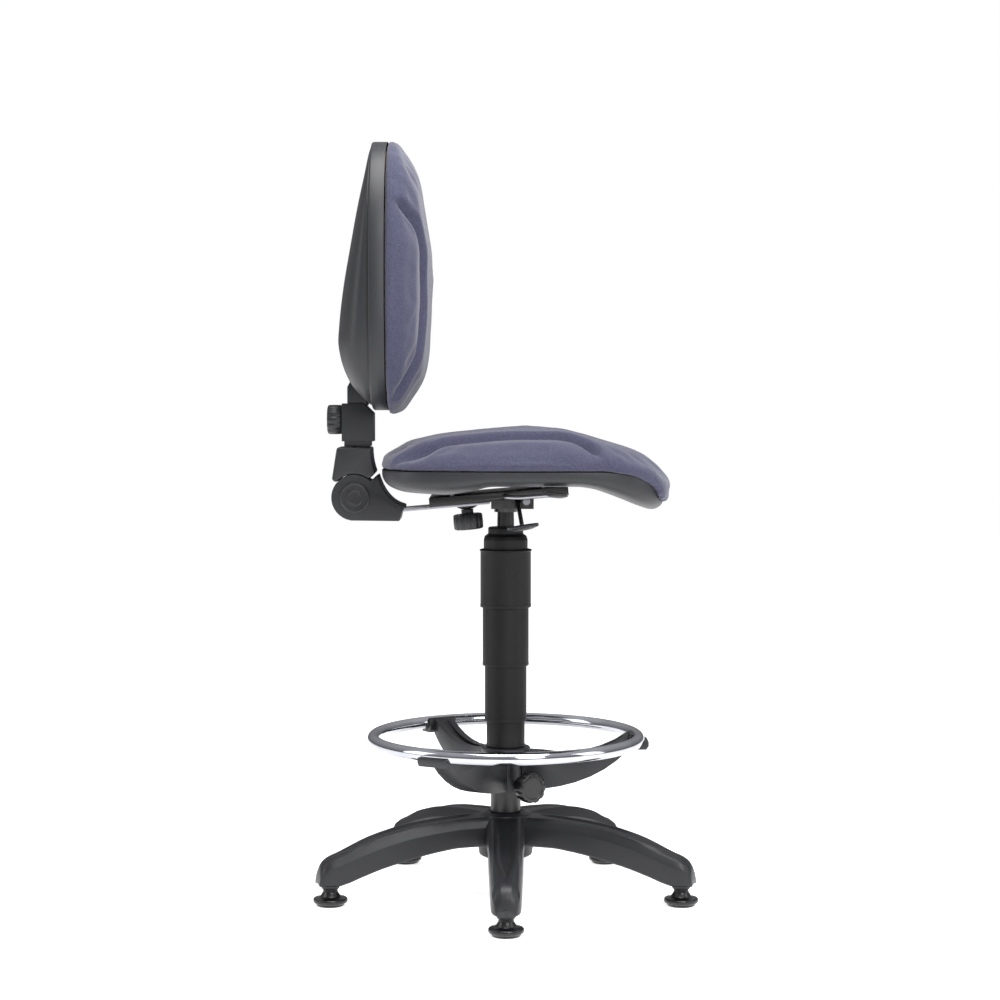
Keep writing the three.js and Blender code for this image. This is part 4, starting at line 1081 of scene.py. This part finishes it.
for node, body, length, tilt in (("height_lever_paddle", "height_control", 50, -9),
                                 ("tilt_lever_paddle", "tilt_control", 38, 6)):
    low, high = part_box(node)
    blade = makeBlade(node + "_blade", (Vector(low) + Vector(high)) / 2, length, 46, tilt, 2.5)
    finished(blade, body, "black_plastic", node)

# Corner cover round the hinge: two halves for each part, and a ringed cap on each side.
hinge = {"front": -248, "height": 661, "half": 38, "radius": 38, "cap": 25, "gap": 0.6}


def bow(start, middle, end, steps=10):
    made = []
    for k in range(steps + 1):
        t = k / steps
        made.append(tuple(start[i] * (1 - t) ** 2 + middle[i] * 2 * t * (1 - t) + end[i] * t * t
                          for i in (0, 1)))
    return made


def roundAbout(start, end, radius, steps=20):
    return [(hinge["front"] + radius * math.cos(math.radians(start + (end - start) * k / steps)),
             hinge["height"] + radius * math.sin(math.radians(start + (end - start) * k / steps)))
            for k in range(steps + 1)]


lowerLine = roundAbout(46, 262, hinge["radius"]) + [(-176, 622.5), (-173.5, 623.5), (-171, 634), (-165, 645)]
lowerLine += bow((-166, 648), (-197, 655), (-210, 699), 12)
upperLine = bow((-213, 703), (-219.5, 718), (-220, 738), 8)
upperLine += bow((-220, 741), (-221, 743.5), (-224, 743.5), 3)
upperLine += bow((-272, 743.5), (-277, 743.5), (-277.5, 738), 3) + [(-285, 690)]
upperLine += roundAbout(140, 52, hinge["radius"] + hinge["gap"], 11)
for names, line, body in ((("lower_cover_right", "lower_cover_left"), lowerLine, "back_arm"),
                          (("upright_cover_right", "upright_cover_left"), upperLine, "upright")):
    for name, side in zip(names, (-1, 1)):
        half = sideSlab(name + "_skin", line, hinge["half"] - 0.4, side * (hinge["half"] / 2))
        finished(bevelled(half, 3.2, 4, 45), body, "grey_plastic", name)
for name, side in (("hinge_cap_right", -1), ("hinge_cap_left", 1)):
    spot = place(side * (hinge["half"] + 0.2), hinge["front"], hinge["height"])
    disc = turned(name + "_disc", [
        (0, 0.1, 0), (hinge["cap"], 0.1, 0.3), (hinge["cap"], 2.8, 1), (hinge["cap"] - 2.4, 3.8, 1),
        (hinge["cap"] - 4, 3.2, 0.5), (14, 3.0, 0.5), (12.6, 3.7, 0.6), (10.8, 3.7, 0.6), (9.6, 3.0, 0.4),
        (0, 2.8, 0)], facing(spot, Vector((side, 0, 0))), segments=80)
    finished(disc, "back_arm", "black_plastic", name)
print("covers made")


# The remaining CAD pieces keep their mesh and take a finish.
for subpart in frame["record"]["subparts"]:
    holder = frame["nodes"][subpart["node"]]
    holder.data.materials.clear()
    holder.data.materials.append(finishes[subpart["material_slot"]])
print("finishes on the frame's own pieces")


def softLight(name, x, front, z, width, height, watts):
    data = bpy.data.lights.new(name, "AREA")
    data.shape = "RECTANGLE"
    data.size, data.size_y, data.energy = width, height, watts
    lamp = newObject(name, data)
    lamp.location = place(x, front, z)
    towards = place(0, 0, 650) - lamp.location
    lamp.rotation_euler = towards.to_track_quat("-Z", "Y").to_euler()


lamps = {
    "cameraSide": (-2400, 900, 1700, 1.0, 1.4, 34),
    "overhead": (-500, 100, 2500, 1.6, 1.6, 56),
    "frontSide": (-700, 2400, 1300, 1.0, 1.8, 14),
    "rearSide": (-500, -2400, 1300, 1.0, 1.8, 14),
}
for name, lamp in lamps.items():
    softLight(name, *lamp)

# The camera sees a plain white studio; everything else sees a sky that is darker near the horizon.
world = bpy.data.worlds.new("studio")
bpy.context.scene.world = world
world.use_nodes = True
sky = world.node_tree
backdrop = sky.nodes["Background"]
rays = sky.nodes.new("ShaderNodeLightPath")
direction = sky.nodes.new("ShaderNodeTexCoord")
heights = sky.nodes.new("ShaderNodeSeparateXYZ")
bands = sky.nodes.new("ShaderNodeValToRGB")
skyStops = [(0.0, (0.16, 0.16, 0.17, 1)), (0.75, (0.62, 0.62, 0.64, 1))]
for stop, (position, colour) in zip(bands.color_ramp.elements, skyStops):
    stop.position, stop.color = position, colour
level = addNode(sky, "ShaderNodeMix", {"B": (1, 1, 1, 1)}, data_type="RGBA")
for start, end in ((direction.outputs["Generated"], heights.inputs[0]),
                   (heights.outputs["Z"], bands.inputs["Fac"]),
                   (bands.outputs["Color"], level.inputs["A"]),
                   (rays.outputs["Is Camera Ray"], level.inputs["Factor"]),
                   (level.outputs["Result"], backdrop.inputs["Color"])):
    sky.links.new(start, end)

floorSize = {"half": 9000, "below": 0.3}
floorCorners = [(-1, -1), (1, -1), (1, 1), (-1, 1)]
floor = solidPiece("floor", [place(x * floorSize["half"], u * floorSize["half"], -floorSize["below"])
                             for x, u in floorCorners], [(0, 1, 2, 3)])
paper = bpy.data.materials.new("palePaper")
paper.use_nodes = True
paperLook = {"Base Color": (0.9, 0.9, 0.9, 1), "Roughness": 0.9, "Emission Color": (1, 1, 1, 1),
             "Emission Strength": 0.72}
for label, value in paperLook.items():
    paper.node_tree.nodes["Principled BSDF"].inputs[label].default_value = value
floor.data.materials.append(paper)

viewer = {"distance": 3.7532, "behind": 0.0094, "height": 0.83986, "down": 2.8132, "lens": 81.79}
cameraData = bpy.data.cameras.new("camera")
cameraData.lens = viewer["lens"]
cameraData.sensor_width = 36
camera = newObject("camera", cameraData)
camera.location = (columnX - viewer["distance"], viewer["behind"], viewer["height"])
camera.rotation_euler = (math.radians(90 - viewer["down"]), 0, math.radians(-90))
bpy.context.scene.camera = camera
bpy.context.scene.view_settings.view_transform = "Standard"
